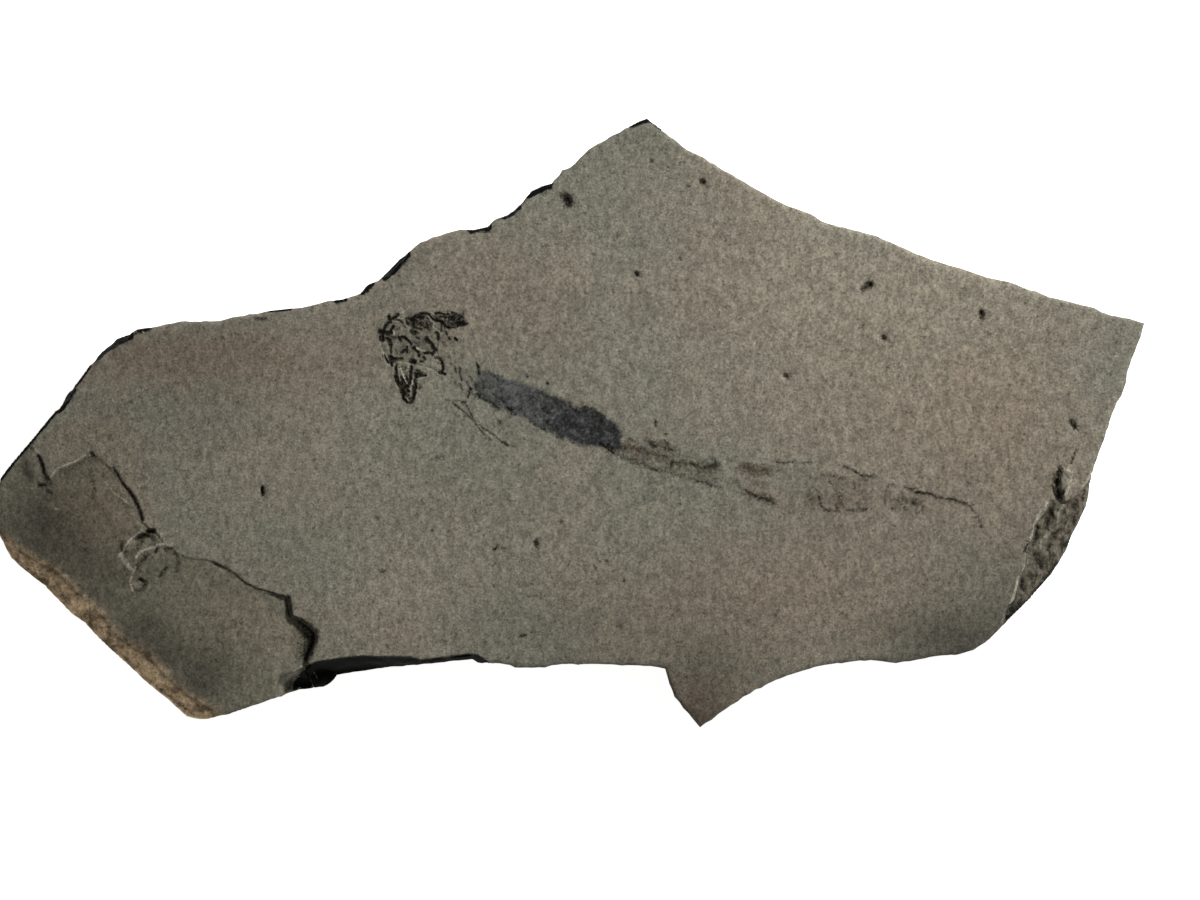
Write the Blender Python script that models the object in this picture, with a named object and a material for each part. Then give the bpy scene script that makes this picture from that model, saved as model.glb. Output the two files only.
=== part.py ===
"""A slab of lake shale with a small fossil amphibian: the stone, and the three bones of its head.

The slab lies flat. x runs along its length, z is up, and the origin is on the surface that it rests
on, under the middle of its outline. Sizes are millimetres until a mesh is made from them.
"""

import math

import bmesh
import bpy
import numpy as np
from mathutils import Vector, noise
from mathutils.geometry import delaunay_2d_cdt

METRES = 0.001  # in one millimetre

# Driving dimensions
LENGTH = 289.0
THICKNESS = 14.0
BONE_THICKNESS = 1.25
BONE_GAP = 0.3
BONE_CROWN = 0.4

# The outlines below are pixels of the photograph, which looks straight down: x to the right, y down
LEFT_PIXEL = -11
RIGHT_PIXEL = 1145
MIDDLE_X_PIXEL = (LEFT_PIXEL + RIGHT_PIXEL) / 2
MIDDLE_Y_PIXEL = 423
MM_PER_PIXEL = LENGTH / (RIGHT_PIXEL - LEFT_PIXEL)

OUTLINE = [
    (-11, 508), (-4, 490), (0, 478), (12, 462), (25, 447), (50, 417), (58, 408), (66, 394), (78, 381),
    (88, 367), (97, 355), (108, 345), (115, 338), (126, 334), (137, 329), (150, 327), (180, 321),
    (200, 321), (220, 320), (232, 317), (265, 311), (302, 307), (325, 301), (342, 299), (360, 293),
    (368, 284), (378, 280), (387, 271), (398, 259), (410, 250), (420, 242), (432, 237), (460, 229),
    (473, 229), (487, 226), (495, 219), (503, 216), (511, 211), (520, 204), (532, 190), (543, 185),
    (551, 183), (562, 170), (570, 167), (588, 149), (598, 143), (612, 135), (638, 121), (647, 118),
    (654, 123), (687, 149), (700, 155), (744, 181), (778, 201), (812, 214), (828, 223), (860, 231),
    (876, 235), (905, 248), (938, 261), (955, 266), (992, 278), (1010, 282), (1050, 296), (1090, 306),
    (1110, 314), (1130, 318), (1145, 323), (1141, 338), (1130, 366), (1127, 382), (1122, 396),
    (1115, 409), (1103, 444), (1092, 474), (1090, 492), (1087, 507), (1073, 536), (1068, 551),
    (1052, 575), (1030, 600), (1006, 623), (996, 634), (985, 644), (974, 651), (960, 655), (942, 656),
    (925, 659), (896, 664), (882, 662), (865, 661), (828, 665), (810, 669), (780, 679), (750, 694),
    (738, 702), (725, 710), (712, 720), (700, 728), (683, 709), (674, 697), (669, 684), (665, 669),
    (650, 667), (605, 665), (562, 665), (545, 668), (520, 669), (500, 664), (477, 664), (472, 660),
    (435, 664), (385, 669), (336, 676), (330, 684), (322, 688), (298, 691), (275, 699), (248, 708),
    (228, 715), (205, 720), (195, 720), (186, 718), (168, 701), (146, 684), (124, 663), (96, 637),
    (84, 624), (70, 614), (44, 587), (18, 566), (10, 558), (4, 546), (-4, 530),
]

# Where a lower surface begins: its upper edge, then the corners that close it outside the outline
SCAR_EDGE = [
    (25, 440), (36, 452), (42, 462), (44, 472), (50, 478), (60, 469), (75, 463), (88, 456), (96, 455),
    (112, 468), (126, 487), (134, 499), (139, 510), (143, 522), (160, 535), (164, 543), (173, 549),
    (186, 556), (213, 560), (225, 567), (237, 574), (246, 582), (258, 589), (288, 597), (291, 614),
    (300, 619), (309, 625), (316, 632), (317, 640), (314, 649), (310, 657), (306, 670), (318, 700),
]
SCAR_BEYOND = [(300, 760), (-60, 760), (-60, 430)]
BREAK_EDGE = [
    (300, 668), (310, 663), (320, 661), (340, 658), (360, 656), (410, 657), (420, 660), (445, 657),
    (467, 654), (478, 655), (487, 661), (492, 668),
]
BREAK_BEYOND = [(480, 760), (270, 760), (276, 690)]
BEVEL_EDGE = [
    (-16, 514), (4, 536), (18, 549), (40, 562), (60, 574), (84, 598), (100, 612), (118, 636), (132, 645),
    (150, 657), (168, 679), (192, 698), (212, 710), (224, 720),
]
BEVEL_BEYOND = [(200, 780), (-80, 780), (-80, 500)]
FRACTURE_EDGE = [
    (1096, 476), (1086, 484), (1078, 494), (1066, 501), (1056, 500), (1048, 508), (1034, 526),
    (1033, 534), (1026, 550), (1025, 566), (1019, 578), (1014, 600), (1006, 607), (1000, 632),
]
FRACTURE_BEYOND = [(1010, 700), (1180, 700), (1180, 470)]
CHIPS = [
    ([(90, 366), (97, 361), (110, 357), (117, 348), (125, 344), (133, 330)], [(120, 310), (70, 340)]),
    ([(52, 414), (60, 409), (65, 402), (72, 397), (76, 383)], [(60, 370), (30, 410)]),
    ([(381, 278), (394, 275), (401, 267), (408, 252)], [(390, 240), (360, 270)]),
    ([(474, 229), (479, 234), (487, 233), (492, 222)], [(486, 200), (464, 210)]),
    ([(503, 216), (509, 218), (515, 215), (519, 205)], [(510, 190), (490, 200)]),
]

SCAR_WALL = 0.6
SCAR_DROP = 0.38
SCAR_DEEP_DROP = 2.2  # added towards the scar's right end
SCAR_DEEP_FROM = -76.0
SCAR_DEEP_TO = -66.0
BREAK_WALL = 0.5
BREAK_DROP = 2.2
BREAK_FALL = 5.5
BREAK_RUN = 3.2
BEVEL_WALL = 0.5
BEVEL_DROP = 0.15
BEVEL_FALL = 3.2
BEVEL_RUN = 7.5
FRACTURE_WALL = 0.6
FRACTURE_DROP = 1.0
FRACTURE_FALL = 5.5
FRACTURE_RUN = 13.0
CHIP_WALL = 0.4
CHIP_DROP = 1.4
CHIP_FALL = 4.5
CHIP_RUN = 2.6
RIM_DROP = 0.5
RIM_WIDTH = 0.9
LOWEST_TOP = 3.6

# The slow swell of the bedding face: rise, length and shift along x, length along y, and fall at the sides
SWELL_RISE = 0.3
SWELL_LENGTH = 46.0
SWELL_SHIFT = 0.7
SWELL_WIDTH = 33.0
SIDE_FALL = 0.25
HALF_WIDTH = 76.0

# Random unevenness: height, how far apart its bumps are, and the number of the random pattern
BEDDING_UNEVENNESS = (0.12, 14.0, 3.0)
SCAR_UNEVENNESS = (0.35, 7.0, 8.0)
FRACTURE_LUMPS = (0.9, 4.5, 21.0)
FRACTURE_GRAIN = (0.5, 2.2, 5.0)
CROWN_UNEVENNESS = (0.5, 1.6, 11.0)

# Pits and lumps: pixel x, pixel y, half width, half height in millimetres, and how far down
HOLLOWS = [
    (567, 200, 1.5, 1.7, 0.8), (702, 182, 1.2, 1.1, 0.6), (867, 286, 1.6, 1.3, 0.8),
    (883, 338, 1.1, 1.1, 0.6), (981, 315, 1.3, 1.4, 0.7), (785, 376, 1.0, 1.0, 0.5),
    (1073, 424, 1.1, 1.6, 0.6), (262, 491, 0.8, 1.6, 0.7), (636, 274, 0.9, 0.9, 0.5),
    (535, 544, 1.1, 1.1, 0.5), (145, 541, 3.2, 2.3, 1.1), (139, 583, 1.7, 1.5, 0.6),
]
LUMPS = [
    (1062, 483, 2.6, 4.6, -2.1), (32, 466, 2.2, 4.2, -0.8), (126, 545, 1.6, 2.6, -0.7),
    (300, 675, 3.6, 2.6, -1.2), (318, 678, 2.6, 2.0, -0.9),
]

# The bones of the head, in the same pixels
SKULL_ROOF = [
    (379, 332), (384, 323), (388, 317), (394, 314), (400, 316), (407, 319), (412, 315), (419, 313),
    (427, 314), (429, 321), (434, 325), (440, 330), (447, 333), (445, 338), (439, 340), (437, 350),
    (439, 358), (444, 367), (444, 373), (440, 376), (434, 370), (427, 368), (417, 365), (406, 363),
    (396, 361), (389, 363), (385, 357), (382, 350), (380, 342),
]
RIGHT_JAW = [
    (434, 312), (440, 311), (450, 312), (457, 313), (463, 317), (467, 323), (465, 326), (457, 328),
    (450, 328), (444, 326), (438, 321),
]
LEFT_JAW = [
    (394, 366), (404, 368), (411, 369), (418, 371), (426, 374), (427, 377), (419, 378), (417, 383),
    (415, 392), (411, 401), (407, 403), (402, 397), (399, 390), (395, 382), (393, 374),
]

# How closely the top is divided
PLAIN_PITCH = 6.0
BROKEN_PITCH = 3.0
EDGE_PITCH = 3.0
LINE_CLEARANCE = 1.1
RIM_CLEARANCE = 1.6
BONE_CLEARANCE = 2.0
SCAR_CORNERS = ((-145.0, -76.0), (-62.0, -6.0))
FRACTURE_CORNERS = ((104.0, -56.0), (134.0, -12.0))
ROW_SPACING = 0.87  # of the pitch, so that the triangles are even
GRID_SHIFT = 0.2  # of the pitch
GRID_PATTERN = 0.37
PIT_RINGS = ((8, 1.0), (5, 0.5), (1, 0.0))  # points in each ring, and its share of the pit's size
SAME_POINT = 1e-4

# How closely a bone is divided
BONE_SHOULDER = 0.45
BONE_PITCH = 1.1
BONE_EDGE_CLEARANCE = 0.8
CROWN_RUN = 0.9
CROWN_SHARE = 0.8

# The broken sides, from the top down: the height as a share of the rim's, and how far in
SIDE_ROWS = [(0.82, 0.5), (0.75, 1.2), (0.46, 0.9), (0.38, 0.4), (0.1, 1.3)]
SIDE_ROUGHNESS = 0.45
SIDE_BUMP_LENGTH = 9.0
SIDE_ROW_SHIFT = 1.7
SIDE_PATTERN = 2.0
LEAST_INSET = 0.1
BASE_INSET = 2.2

SHALE_COLOUR = (0.20, 0.185, 0.15)
SHALE_ROUGHNESS = 0.85
BONE_COLOUR = (0.09, 0.08, 0.06)
BONE_ROUGHNESS = 0.6


def millimetres(pixels):
    """Points of the photograph as an array of millimetres, y up, about the outline's middle."""
    across, down = np.array(pixels, dtype=float).T
    x = (across - MIDDLE_X_PIXEL) * MM_PER_PIXEL
    y = (MIDDLE_Y_PIXEL - down) * MM_PER_PIXEL
    return np.column_stack([x, y])


def ends_of(line, closed):
    if closed:
        return line, np.roll(line, -1, axis=0)
    return line[:-1], line[1:]


def distance(points, line, closed=False):
    """How far each point is from the nearest stretch of the line."""
    starts, ends = ends_of(line, closed)
    nearest = np.full(len(points), np.inf)
    for start, end in zip(starts, ends):
        along = end - start
        share = np.clip((points - start) @ along / (along @ along), 0, 1)
        gap = points - start - share[:, None] * along
        nearest = np.minimum(nearest, np.hypot(gap[:, 0], gap[:, 1]))
    return nearest


def inside(points, loop):
    """Which points lie inside the closed loop."""
    starts, ends = ends_of(loop, True)
    crossed = np.zeros(len(points), dtype=bool)
    x, y = points.T
    for (x0, y0), (x1, y1) in zip(starts, ends):
        if y0 == y1:
            continue
        spans = (y0 > y) != (y1 > y)
        crossed ^= spans & (x < (x1 - x0) * (y - y0) / (y1 - y0) + x0)
    return crossed


def smooth_share(value):
    share = np.clip(value, 0, 1)
    return share * share * (3 - 2 * share)


def unevenness(points, pattern):
    """Smooth random relief of the given height, bump distance and random pattern."""
    height, size, number = pattern
    values = [noise.noise(Vector((x / size, y / size, number))) for x, y in points]
    return height * np.array(values)


def signed_area(loop):
    """The area inside the loop, positive where it runs anticlockwise."""
    following = np.roll(loop, -1, axis=0)
    return float(np.sum(loop[:, 0] * following[:, 1] - loop[:, 1] * following[:, 0])) / 2


def outward(loop):
    """The unit direction away from the loop at each of its points."""
    along = np.roll(loop, -1, axis=0) - np.roll(loop, 1, axis=0)
    along /= np.hypot(along[:, 0], along[:, 1])[:, None]
    away = np.column_stack([along[:, 1], -along[:, 0]])
    return away if signed_area(loop) > 0 else -away


def broad_outward(loop, reach):
    """The direction away from the loop, taken between the places that lie reach before and after."""
    lengths = np.hypot(*(np.roll(loop, -1, axis=0) - loop).T)
    places = np.concatenate([[0], np.cumsum(lengths)])
    closed_loop = np.vstack([loop, loop[:1]])

    def place(along):
        along = np.mod(along, places[-1])
        return np.column_stack([np.interp(along, places, closed_loop[:, axis]) for axis in (0, 1)])

    along = place(places[:-1] + reach) - place(places[:-1] - reach)
    along /= np.hypot(along[:, 0], along[:, 1])[:, None]
    return np.column_stack([along[:, 1], -along[:, 0]])


def divided(line, pitch, closed=False):
    """The line with further points, so that none are more than pitch apart."""
    starts, ends = ends_of(line, closed)
    points = []
    for start, end in zip(starts, ends):
        pieces = max(1, math.ceil(math.dist(start, end) / pitch))
        points += [start + (end - start) * step / pieces for step in range(pieces)]
    if not closed:
        points.append(line[-1])
    return np.array(points)


class Drop:
    """A lower part of the top: a wall down from its edge, then a fall towards the outline."""

    def __init__(self, edge, beyond, wall, drop, fall=0.0, run=1.0):
        self.edge = divided(millimetres(edge), EDGE_PITCH)
        self.region = np.vstack([millimetres(edge), millimetres(beyond)])
        self.wall = wall
        self.drop = drop
        self.fall = fall
        self.run = run

    def depth(self, points):
        away = np.where(inside(points, self.region), distance(points, self.edge), 0.0)
        return self.drop * np.clip(away / self.wall, 0, 1) + self.fall * smooth_share(away / self.run)

    def toe(self):
        """The foot of the wall, as far from the edge as the wall is wide."""
        along = np.gradient(self.edge, axis=0)
        along /= np.hypot(along[:, 0], along[:, 1])[:, None]
        side = np.column_stack([along[:, 1], -along[:, 0]]) * self.wall
        low = inside(self.edge + side, self.region).mean() > 0.5
        return self.edge + (side if low else -side)


SCAR = Drop(SCAR_EDGE, SCAR_BEYOND, SCAR_WALL, SCAR_DROP)
BREAK = Drop(BREAK_EDGE, BREAK_BEYOND, BREAK_WALL, BREAK_DROP, BREAK_FALL, BREAK_RUN)
BEVEL = Drop(BEVEL_EDGE, BEVEL_BEYOND, BEVEL_WALL, BEVEL_DROP, BEVEL_FALL, BEVEL_RUN)
FRACTURE = Drop(FRACTURE_EDGE, FRACTURE_BEYOND, FRACTURE_WALL, FRACTURE_DROP, FRACTURE_FALL, FRACTURE_RUN)
SMALL_CHIPS = [Drop(edge, beyond, CHIP_WALL, CHIP_DROP, CHIP_FALL, CHIP_RUN) for edge, beyond in CHIPS]
DROPS = [SCAR, BREAK, BEVEL, FRACTURE, *SMALL_CHIPS]
RIM = millimetres(OUTLINE)
BONES = {
    "skull_roof": millimetres(SKULL_ROOF),
    "right_jaw": millimetres(RIGHT_JAW),
    "left_jaw": millimetres(LEFT_JAW),
}


def hollow_depth(points, hollow):
    across, down, half_width, half_height, depth = hollow
    middle = millimetres([(across, down)])[0]
    scaled = (points - middle) / (half_width, half_height)
    share = np.clip(1 - np.sum(scaled * scaled, axis=1), 0, 1)
    return depth * share * (2 - share)


def bedding(points):
    """The main bedding face: almost flat, with a slow swell and a faint unevenness."""
    x, y = points.T
    swell = SWELL_RISE * np.sin(x / SWELL_LENGTH + SWELL_SHIFT) * np.cos(y / SWELL_WIDTH)
    fall = SIDE_FALL * (y / HALF_WIDTH) ** 2
    return THICKNESS + swell - fall + unevenness(points, BEDDING_UNEVENNESS)


def top_height(points):
    """The height of the stone's top, without the beds of the bones."""
    x = points[:, 0]
    height = bedding(points) - sum(drop.depth(points) for drop in DROPS)
    in_scar = SCAR.depth(points) > 0
    dip = (x - SCAR_DEEP_FROM) / (SCAR_DEEP_TO - SCAR_DEEP_FROM)
    height -= np.where(in_scar, SCAR_DEEP_DROP * smooth_share(dip), 0.0)
    height += np.where(in_scar, unevenness(points, SCAR_UNEVENNESS), 0.0)
    broken = np.clip(FRACTURE.depth(points), 0, 1)
    height += broken * (unevenness(points, FRACTURE_LUMPS) + unevenness(points, FRACTURE_GRAIN))
    for hollow in HOLLOWS + LUMPS:
        height -= hollow_depth(points, hollow)
    to_rim = distance(points, RIM, closed=True)
    height -= RIM_DROP * (1 - np.clip(to_rim / RIM_WIDTH, 0, 1))
    return np.maximum(height, LOWEST_TOP)


def bed_depth(points):
    """How far the beds that hold the bones go down at each point."""
    depth = np.zeros(len(points))
    for loop in BONES.values():
        outside = np.where(inside(points, loop), -1.0, distance(points, loop, closed=True))
        wall = np.clip((2 * BONE_GAP - outside) / BONE_GAP, 0, 1)
        depth = np.maximum(depth, (BONE_THICKNESS + BONE_GAP) * wall)
    return depth


def grid(pitch, corners):
    """Points of a triangular grid, a little uneven, between two corners."""
    (x0, y0), (x1, y1) = corners
    points = []
    for row in range(int((y1 - y0) / (pitch * ROW_SPACING)) + 1):
        for column in range(int((x1 - x0) / pitch) + 1):
            x = x0 + (column + 0.5 * (row % 2)) * pitch
            y = y0 + row * pitch * ROW_SPACING
            shift = noise.noise_vector(Vector((x / pitch, y / pitch, GRID_PATTERN))) * GRID_SHIFT * pitch
            points.append((x + shift.x, y + shift.y))
    return np.array(points)


def rings(hollow):
    """Points round and in a pit or a lump."""
    across, down, half_width, half_height, _ = hollow
    middle = millimetres([(across, down)])[0]
    points = []
    for count, share in PIT_RINGS:
        for step in range(count):
            angle = 2 * math.pi * step / count
            reach = (half_width * math.cos(angle) * share, half_height * math.sin(angle) * share)
            points.append(middle + reach)
    return np.array(points)


def triangles(loop, lines, points):
    """The loop filled with triangles that keep every line, as new points and faces."""
    corners = [Vector(point) for point in loop]
    edges = []
    for line, closed in lines:
        first = len(corners)
        corners += [Vector(point) for point in line]
        edges += [(first + step, first + step + 1) for step in range(len(line) - 1)]
        if closed:
            edges.append((len(corners) - 1, first))
    corners += [Vector(point) for point in points]
    outline = list(range(len(loop)))
    keep_inside = 1
    found = delaunay_2d_cdt(corners, edges, [outline], keep_inside, SAME_POINT)
    return np.array([tuple(corner) for corner in found[0]]), found[2]


def top_points():
    """The free points of the top, clear of the outline and of every line that it keeps."""
    half_size = np.array([LENGTH / 2, LENGTH / 3])
    broken_parts = [grid(BROKEN_PITCH, SCAR_CORNERS), grid(BROKEN_PITCH, FRACTURE_CORNERS)]
    plain = grid(PLAIN_PITCH, (-half_size, half_size))
    in_scar = inside(plain, SCAR.region)
    in_fracture = inside(plain, FRACTURE.region)
    plain = plain[~in_scar & ~in_fracture]
    fine = [part[inside(part, SCAR.region) | inside(part, FRACTURE.region)] for part in broken_parts]
    points = np.vstack([plain, *fine])
    points = points[inside(points, RIM)]
    clear = distance(points, RIM, closed=True) > RIM_CLEARANCE
    for drop in DROPS:
        clear &= distance(points, drop.edge) > LINE_CLEARANCE
    for loop in BONES.values():
        clear &= distance(points, loop, closed=True) > BONE_CLEARANCE
        clear &= ~inside(points, loop)
    for hollow in HOLLOWS + LUMPS:
        clear &= hollow_depth(points, hollow[:4] + (1.0,)) == 0
    pits = np.vstack([rings(hollow) for hollow in HOLLOWS + LUMPS])
    return np.vstack([points[clear], pits[inside(pits, RIM)]])


def stone_top():
    """The top of the slab, as points with their heights and as triangles."""
    rim = divided(RIM, 2 * EDGE_PITCH, closed=True)
    shoulder = rim - outward(rim) * RIM_WIDTH
    lines = [(shoulder, True)]
    for drop in DROPS:
        lines.append((drop.edge, False))
        lines.append((drop.toe(), False))
    for loop in BONES.values():
        away = outward(loop)
        lines.append((loop + away * BONE_GAP, True))
        lines.append((loop + away * 2 * BONE_GAP, True))
    flat, faces = triangles(rim, lines, top_points())
    height = top_height(flat) - bed_depth(flat)
    return np.column_stack([flat, height]), faces


def side_rows(mesh, rim_edges):
    """Broken sides from the rim down to the flat underside, one row of faces after another."""
    rim = ordered(rim_edges)
    flat = np.array([(corner.co.x, corner.co.y) for corner in rim])
    away = broad_outward(flat, 2 * BASE_INSET)
    travelled = np.cumsum(np.hypot(*(np.roll(flat, -1, axis=0) - flat).T))
    above = rim
    for row, (share, inset) in enumerate([*SIDE_ROWS, (0.0, BASE_INSET)]):
        below = []
        for corner, out, along in zip(rim, away, travelled):
            bump = noise.noise(Vector((along / SIDE_BUMP_LENGTH, row * SIDE_ROW_SHIFT, SIDE_PATTERN)))
            uneven = 0.0 if share == 0.0 else bump * SIDE_ROUGHNESS
            place = corner.co.xy - Vector(out) * max(LEAST_INSET, inset + uneven)
            below.append(mesh.verts.new((place.x, place.y, corner.co.z * share + uneven)))
        for step in range(len(rim)):
            following = (step + 1) % len(rim)
            mesh.faces.new((above[step], below[step], below[following], above[following]))
        above = below
    return above


def ordered(edges):
    """The corners of a closed ring of edges, one after the other, anticlockwise from above."""
    left = set(edges)
    edge = left.pop()
    ring = list(edge.verts)
    while left:
        edge = next(edge for edge in ring[-1].link_edges if edge in left)
        left.discard(edge)
        ring.append(edge.other_vert(ring[-1]))
    ring.pop()
    loop = np.array([(corner.co.x, corner.co.y) for corner in ring])
    return ring if signed_area(loop) > 0 else ring[::-1]


def bone_mesh(loop, mesh):
    """A thin bone: flat below, its edge level with the stone, and a low uneven crown."""
    shoulder = loop - outward(loop) * BONE_SHOULDER
    free = grid(BONE_PITCH, (loop.min(axis=0), loop.max(axis=0)))
    free = free[inside(free, loop)]
    free = free[distance(free, loop, closed=True) > BONE_EDGE_CLEARANCE]
    flat, faces = triangles(loop, [(shoulder, True)], free)
    away = distance(flat, loop, closed=True)
    fullness = CROWN_SHARE + unevenness(flat, CROWN_UNEVENNESS)
    crown = BONE_CROWN * smooth_share(away / CROWN_RUN) * fullness
    surface = float(top_height(loop).mean())
    lower = surface - BONE_THICKNESS
    top = [mesh.verts.new((x, y, surface + rise)) for (x, y), rise in zip(flat, crown)]
    for face in faces:
        mesh.faces.new([top[index] for index in face])
    ring = ordered([edge for edge in mesh.edges if edge.is_boundary])
    base = [mesh.verts.new((corner.co.x, corner.co.y, lower)) for corner in ring]
    for step in range(len(ring)):
        following = (step + 1) % len(ring)
        mesh.faces.new((ring[step], base[step], base[following], ring[following]))
    mesh.faces.new(base[::-1])


def finish_object(name, mesh, material):
    """Makes the object in metres, with its faces pointing out."""
    bmesh.ops.scale(mesh, vec=(METRES, METRES, METRES), verts=mesh.verts)
    bmesh.ops.triangulate(mesh, faces=mesh.faces)
    bmesh.ops.recalc_face_normals(mesh, faces=mesh.faces)
    data = bpy.data.meshes.new(name)
    mesh.to_mesh(data)
    mesh.free()
    data.materials.append(material)
    made = bpy.data.objects.new(name, data)
    bpy.context.scene.collection.objects.link(made)
    return made


def plain_material(name, colour, roughness):
    material = bpy.data.materials.new(name)
    material.use_nodes = True
    shader = material.node_tree.nodes["Principled BSDF"]
    shader.inputs["Base Color"].default_value = (*colour, 1.0)
    shader.inputs["Roughness"].default_value = roughness
    shader.inputs["Metallic"].default_value = 0.0
    return material


def make_slab():
    """The stone: its top, its broken sides and its flat underside as one closed body."""
    points, faces = stone_top()
    mesh = bmesh.new()
    top = [mesh.verts.new(point) for point in points]
    for face in faces:
        mesh.faces.new([top[index] for index in face])
    rim = [edge for edge in mesh.edges if edge.is_boundary]
    mesh.faces.new(side_rows(mesh, rim)[::-1])
    return finish_object("slab", mesh, plain_material("shale", SHALE_COLOUR, SHALE_ROUGHNESS))


def make_bone(name):
    mesh = bmesh.new()
    bone_mesh(BONES[name], mesh)
    return finish_object(name, mesh, plain_material(name + "_bone", BONE_COLOUR, BONE_ROUGHNESS))


def clear_scene():
    for old in list(bpy.data.objects):
        bpy.data.objects.remove(old, do_unlink=True)


clear_scene()
make_slab()
for bone in BONES:
    make_bone(bone)
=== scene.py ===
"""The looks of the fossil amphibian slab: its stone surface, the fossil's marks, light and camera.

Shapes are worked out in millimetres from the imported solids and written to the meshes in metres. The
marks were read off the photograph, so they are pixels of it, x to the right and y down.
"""

import itertools
import math

import bmesh
import bpy
import numpy as np
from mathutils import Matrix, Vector


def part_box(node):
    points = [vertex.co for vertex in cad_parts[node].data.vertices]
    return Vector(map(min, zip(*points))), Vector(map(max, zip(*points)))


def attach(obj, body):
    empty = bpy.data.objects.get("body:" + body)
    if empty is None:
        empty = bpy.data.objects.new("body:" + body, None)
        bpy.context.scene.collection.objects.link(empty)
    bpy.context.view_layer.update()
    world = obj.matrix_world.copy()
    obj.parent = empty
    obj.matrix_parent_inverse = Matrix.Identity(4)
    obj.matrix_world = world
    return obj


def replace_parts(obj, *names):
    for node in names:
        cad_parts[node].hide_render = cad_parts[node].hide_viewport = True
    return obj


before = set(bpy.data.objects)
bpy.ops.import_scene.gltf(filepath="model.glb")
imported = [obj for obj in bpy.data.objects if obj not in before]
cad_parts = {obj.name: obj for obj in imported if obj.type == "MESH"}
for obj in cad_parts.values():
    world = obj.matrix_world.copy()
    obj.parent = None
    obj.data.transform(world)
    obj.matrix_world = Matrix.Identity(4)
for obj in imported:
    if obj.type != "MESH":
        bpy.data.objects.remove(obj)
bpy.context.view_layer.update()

MM = 0.001  # metres in a millimetre

# The photograph's frame, and the slab's ends and middle in its pixels
PHOTO_WIDTH = 1200
PHOTO_HEIGHT = 900
LEFT_PIXEL = -11
RIGHT_PIXEL = 1145
MIDDLE_X_PIXEL = (LEFT_PIXEL + RIGHT_PIXEL) / 2
MIDDLE_Y_PIXEL = 423
SLAB_LOW, SLAB_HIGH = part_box("slab")
MM_PER_PIXEL = (SLAB_HIGH.x - SLAB_LOW.x) / MM / (RIGHT_PIXEL - LEFT_PIXEL)

# The bedding face's height in millimetres
TOP = 14.0

BONES = ("skull_roof", "right_jaw", "left_jaw")

# Distances are worked out up to FAR millimetres, and a value is NO_STROKE away from all strokes
FAR = 6.0
NO_STROKE = -1.0
# How much wider than its stroke's dark a dent is, and how fast it falls to its depth
DENT_WIDTH = 1.3
DENT_SLOPE = 1.3
# Numbers too small to divide by, and how near in metres two corners of a solid are one
SMALLEST = 1e-12
SAME_POINT = 1e-7

# The longest triangle edges that each kind of surface keeps, in millimetres
PLAIN_EDGE = 2.4
SIDE_EDGE = 2.0
UNDER_EDGE = 4.0
BROKEN_EDGE = 1.2
FRACTURE_EDGE = 0.65
CREST_EDGE = 0.7
FOSSIL_EDGE = 0.9
LINE_EDGE = 0.5
HEAD_EDGE = 0.36
BONE_EDGE = 0.22
REFINING_ROUNDS = 7

# The bones' beds in the solid, which the fine surface closes: how far round a bone, and below the top
BED_REACH = 0.85
BED_DEPTH = 3.5
# How far the surface then goes down under a bone, and how far inside the bone's edge it is all the way down
TUCK = 0.6
TUCK_REACH = 0.45
# Rounds of evening out heights: over the beds, on the bedding face and on the bones
BED_ROUNDS = 150
FACE_ROUNDS = 20
BONE_ROUNDS = 8
# An edge that bends more than this, in degrees, is kept sharp
STONE_SHARP = 14
BONE_SHARP = 35

# The lower parts of the top: the upper edge of each, then corners outside the outline
SCAR = [
    (25, 440), (36, 452), (42, 462), (44, 472), (50, 478), (60, 469), (75, 463), (88, 456), (96, 455),
    (112, 468), (126, 487), (134, 499), (139, 510), (143, 522), (160, 535), (164, 543), (173, 549),
    (186, 556), (213, 560), (225, 567), (237, 574), (246, 582), (258, 589), (288, 597), (291, 614),
    (300, 619), (309, 625), (316, 632), (317, 640), (314, 649), (310, 657), (306, 670), (318, 700),
    (300, 760), (-60, 760), (-60, 430),
]
BREAK = [
    (297, 677), (303, 670), (309, 665), (320, 661), (340, 658), (360, 656), (410, 657), (420, 660),
    (445, 657), (467, 654), (478, 655), (487, 661), (492, 668), (480, 760), (286, 760), (292, 684),
]
BEVEL = [
    (-16, 514), (4, 536), (18, 549), (40, 562), (60, 574), (84, 598), (100, 612), (118, 636), (132, 645),
    (150, 657), (168, 679), (192, 698), (212, 710), (224, 720), (200, 780), (-80, 780), (-80, 500),
]
FRACTURE = [
    (1096, 476), (1086, 484), (1078, 494), (1066, 501), (1056, 500), (1048, 508), (1034, 526), (1033, 534),
    (1026, 550), (1025, 566), (1019, 578), (1014, 600), (1006, 607), (1000, 632), (1010, 700), (1180, 700),
    (1180, 470),
]

# The body's dark film, as its outline
TRUNK = [
    (476, 374), (478, 365), (481, 369), (491, 371), (504, 377), (519, 382), (532, 385), (546, 391),
    (555, 395), (569, 402), (574, 406), (585, 406), (593, 409), (604, 415), (615, 422), (622, 431),
    (622, 438), (621, 449), (615, 452), (601, 447), (580, 447), (567, 440), (555, 435), (542, 429),
    (529, 421), (516, 415), (504, 411), (494, 407), (485, 401), (477, 396), (474, 385),
]

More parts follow.
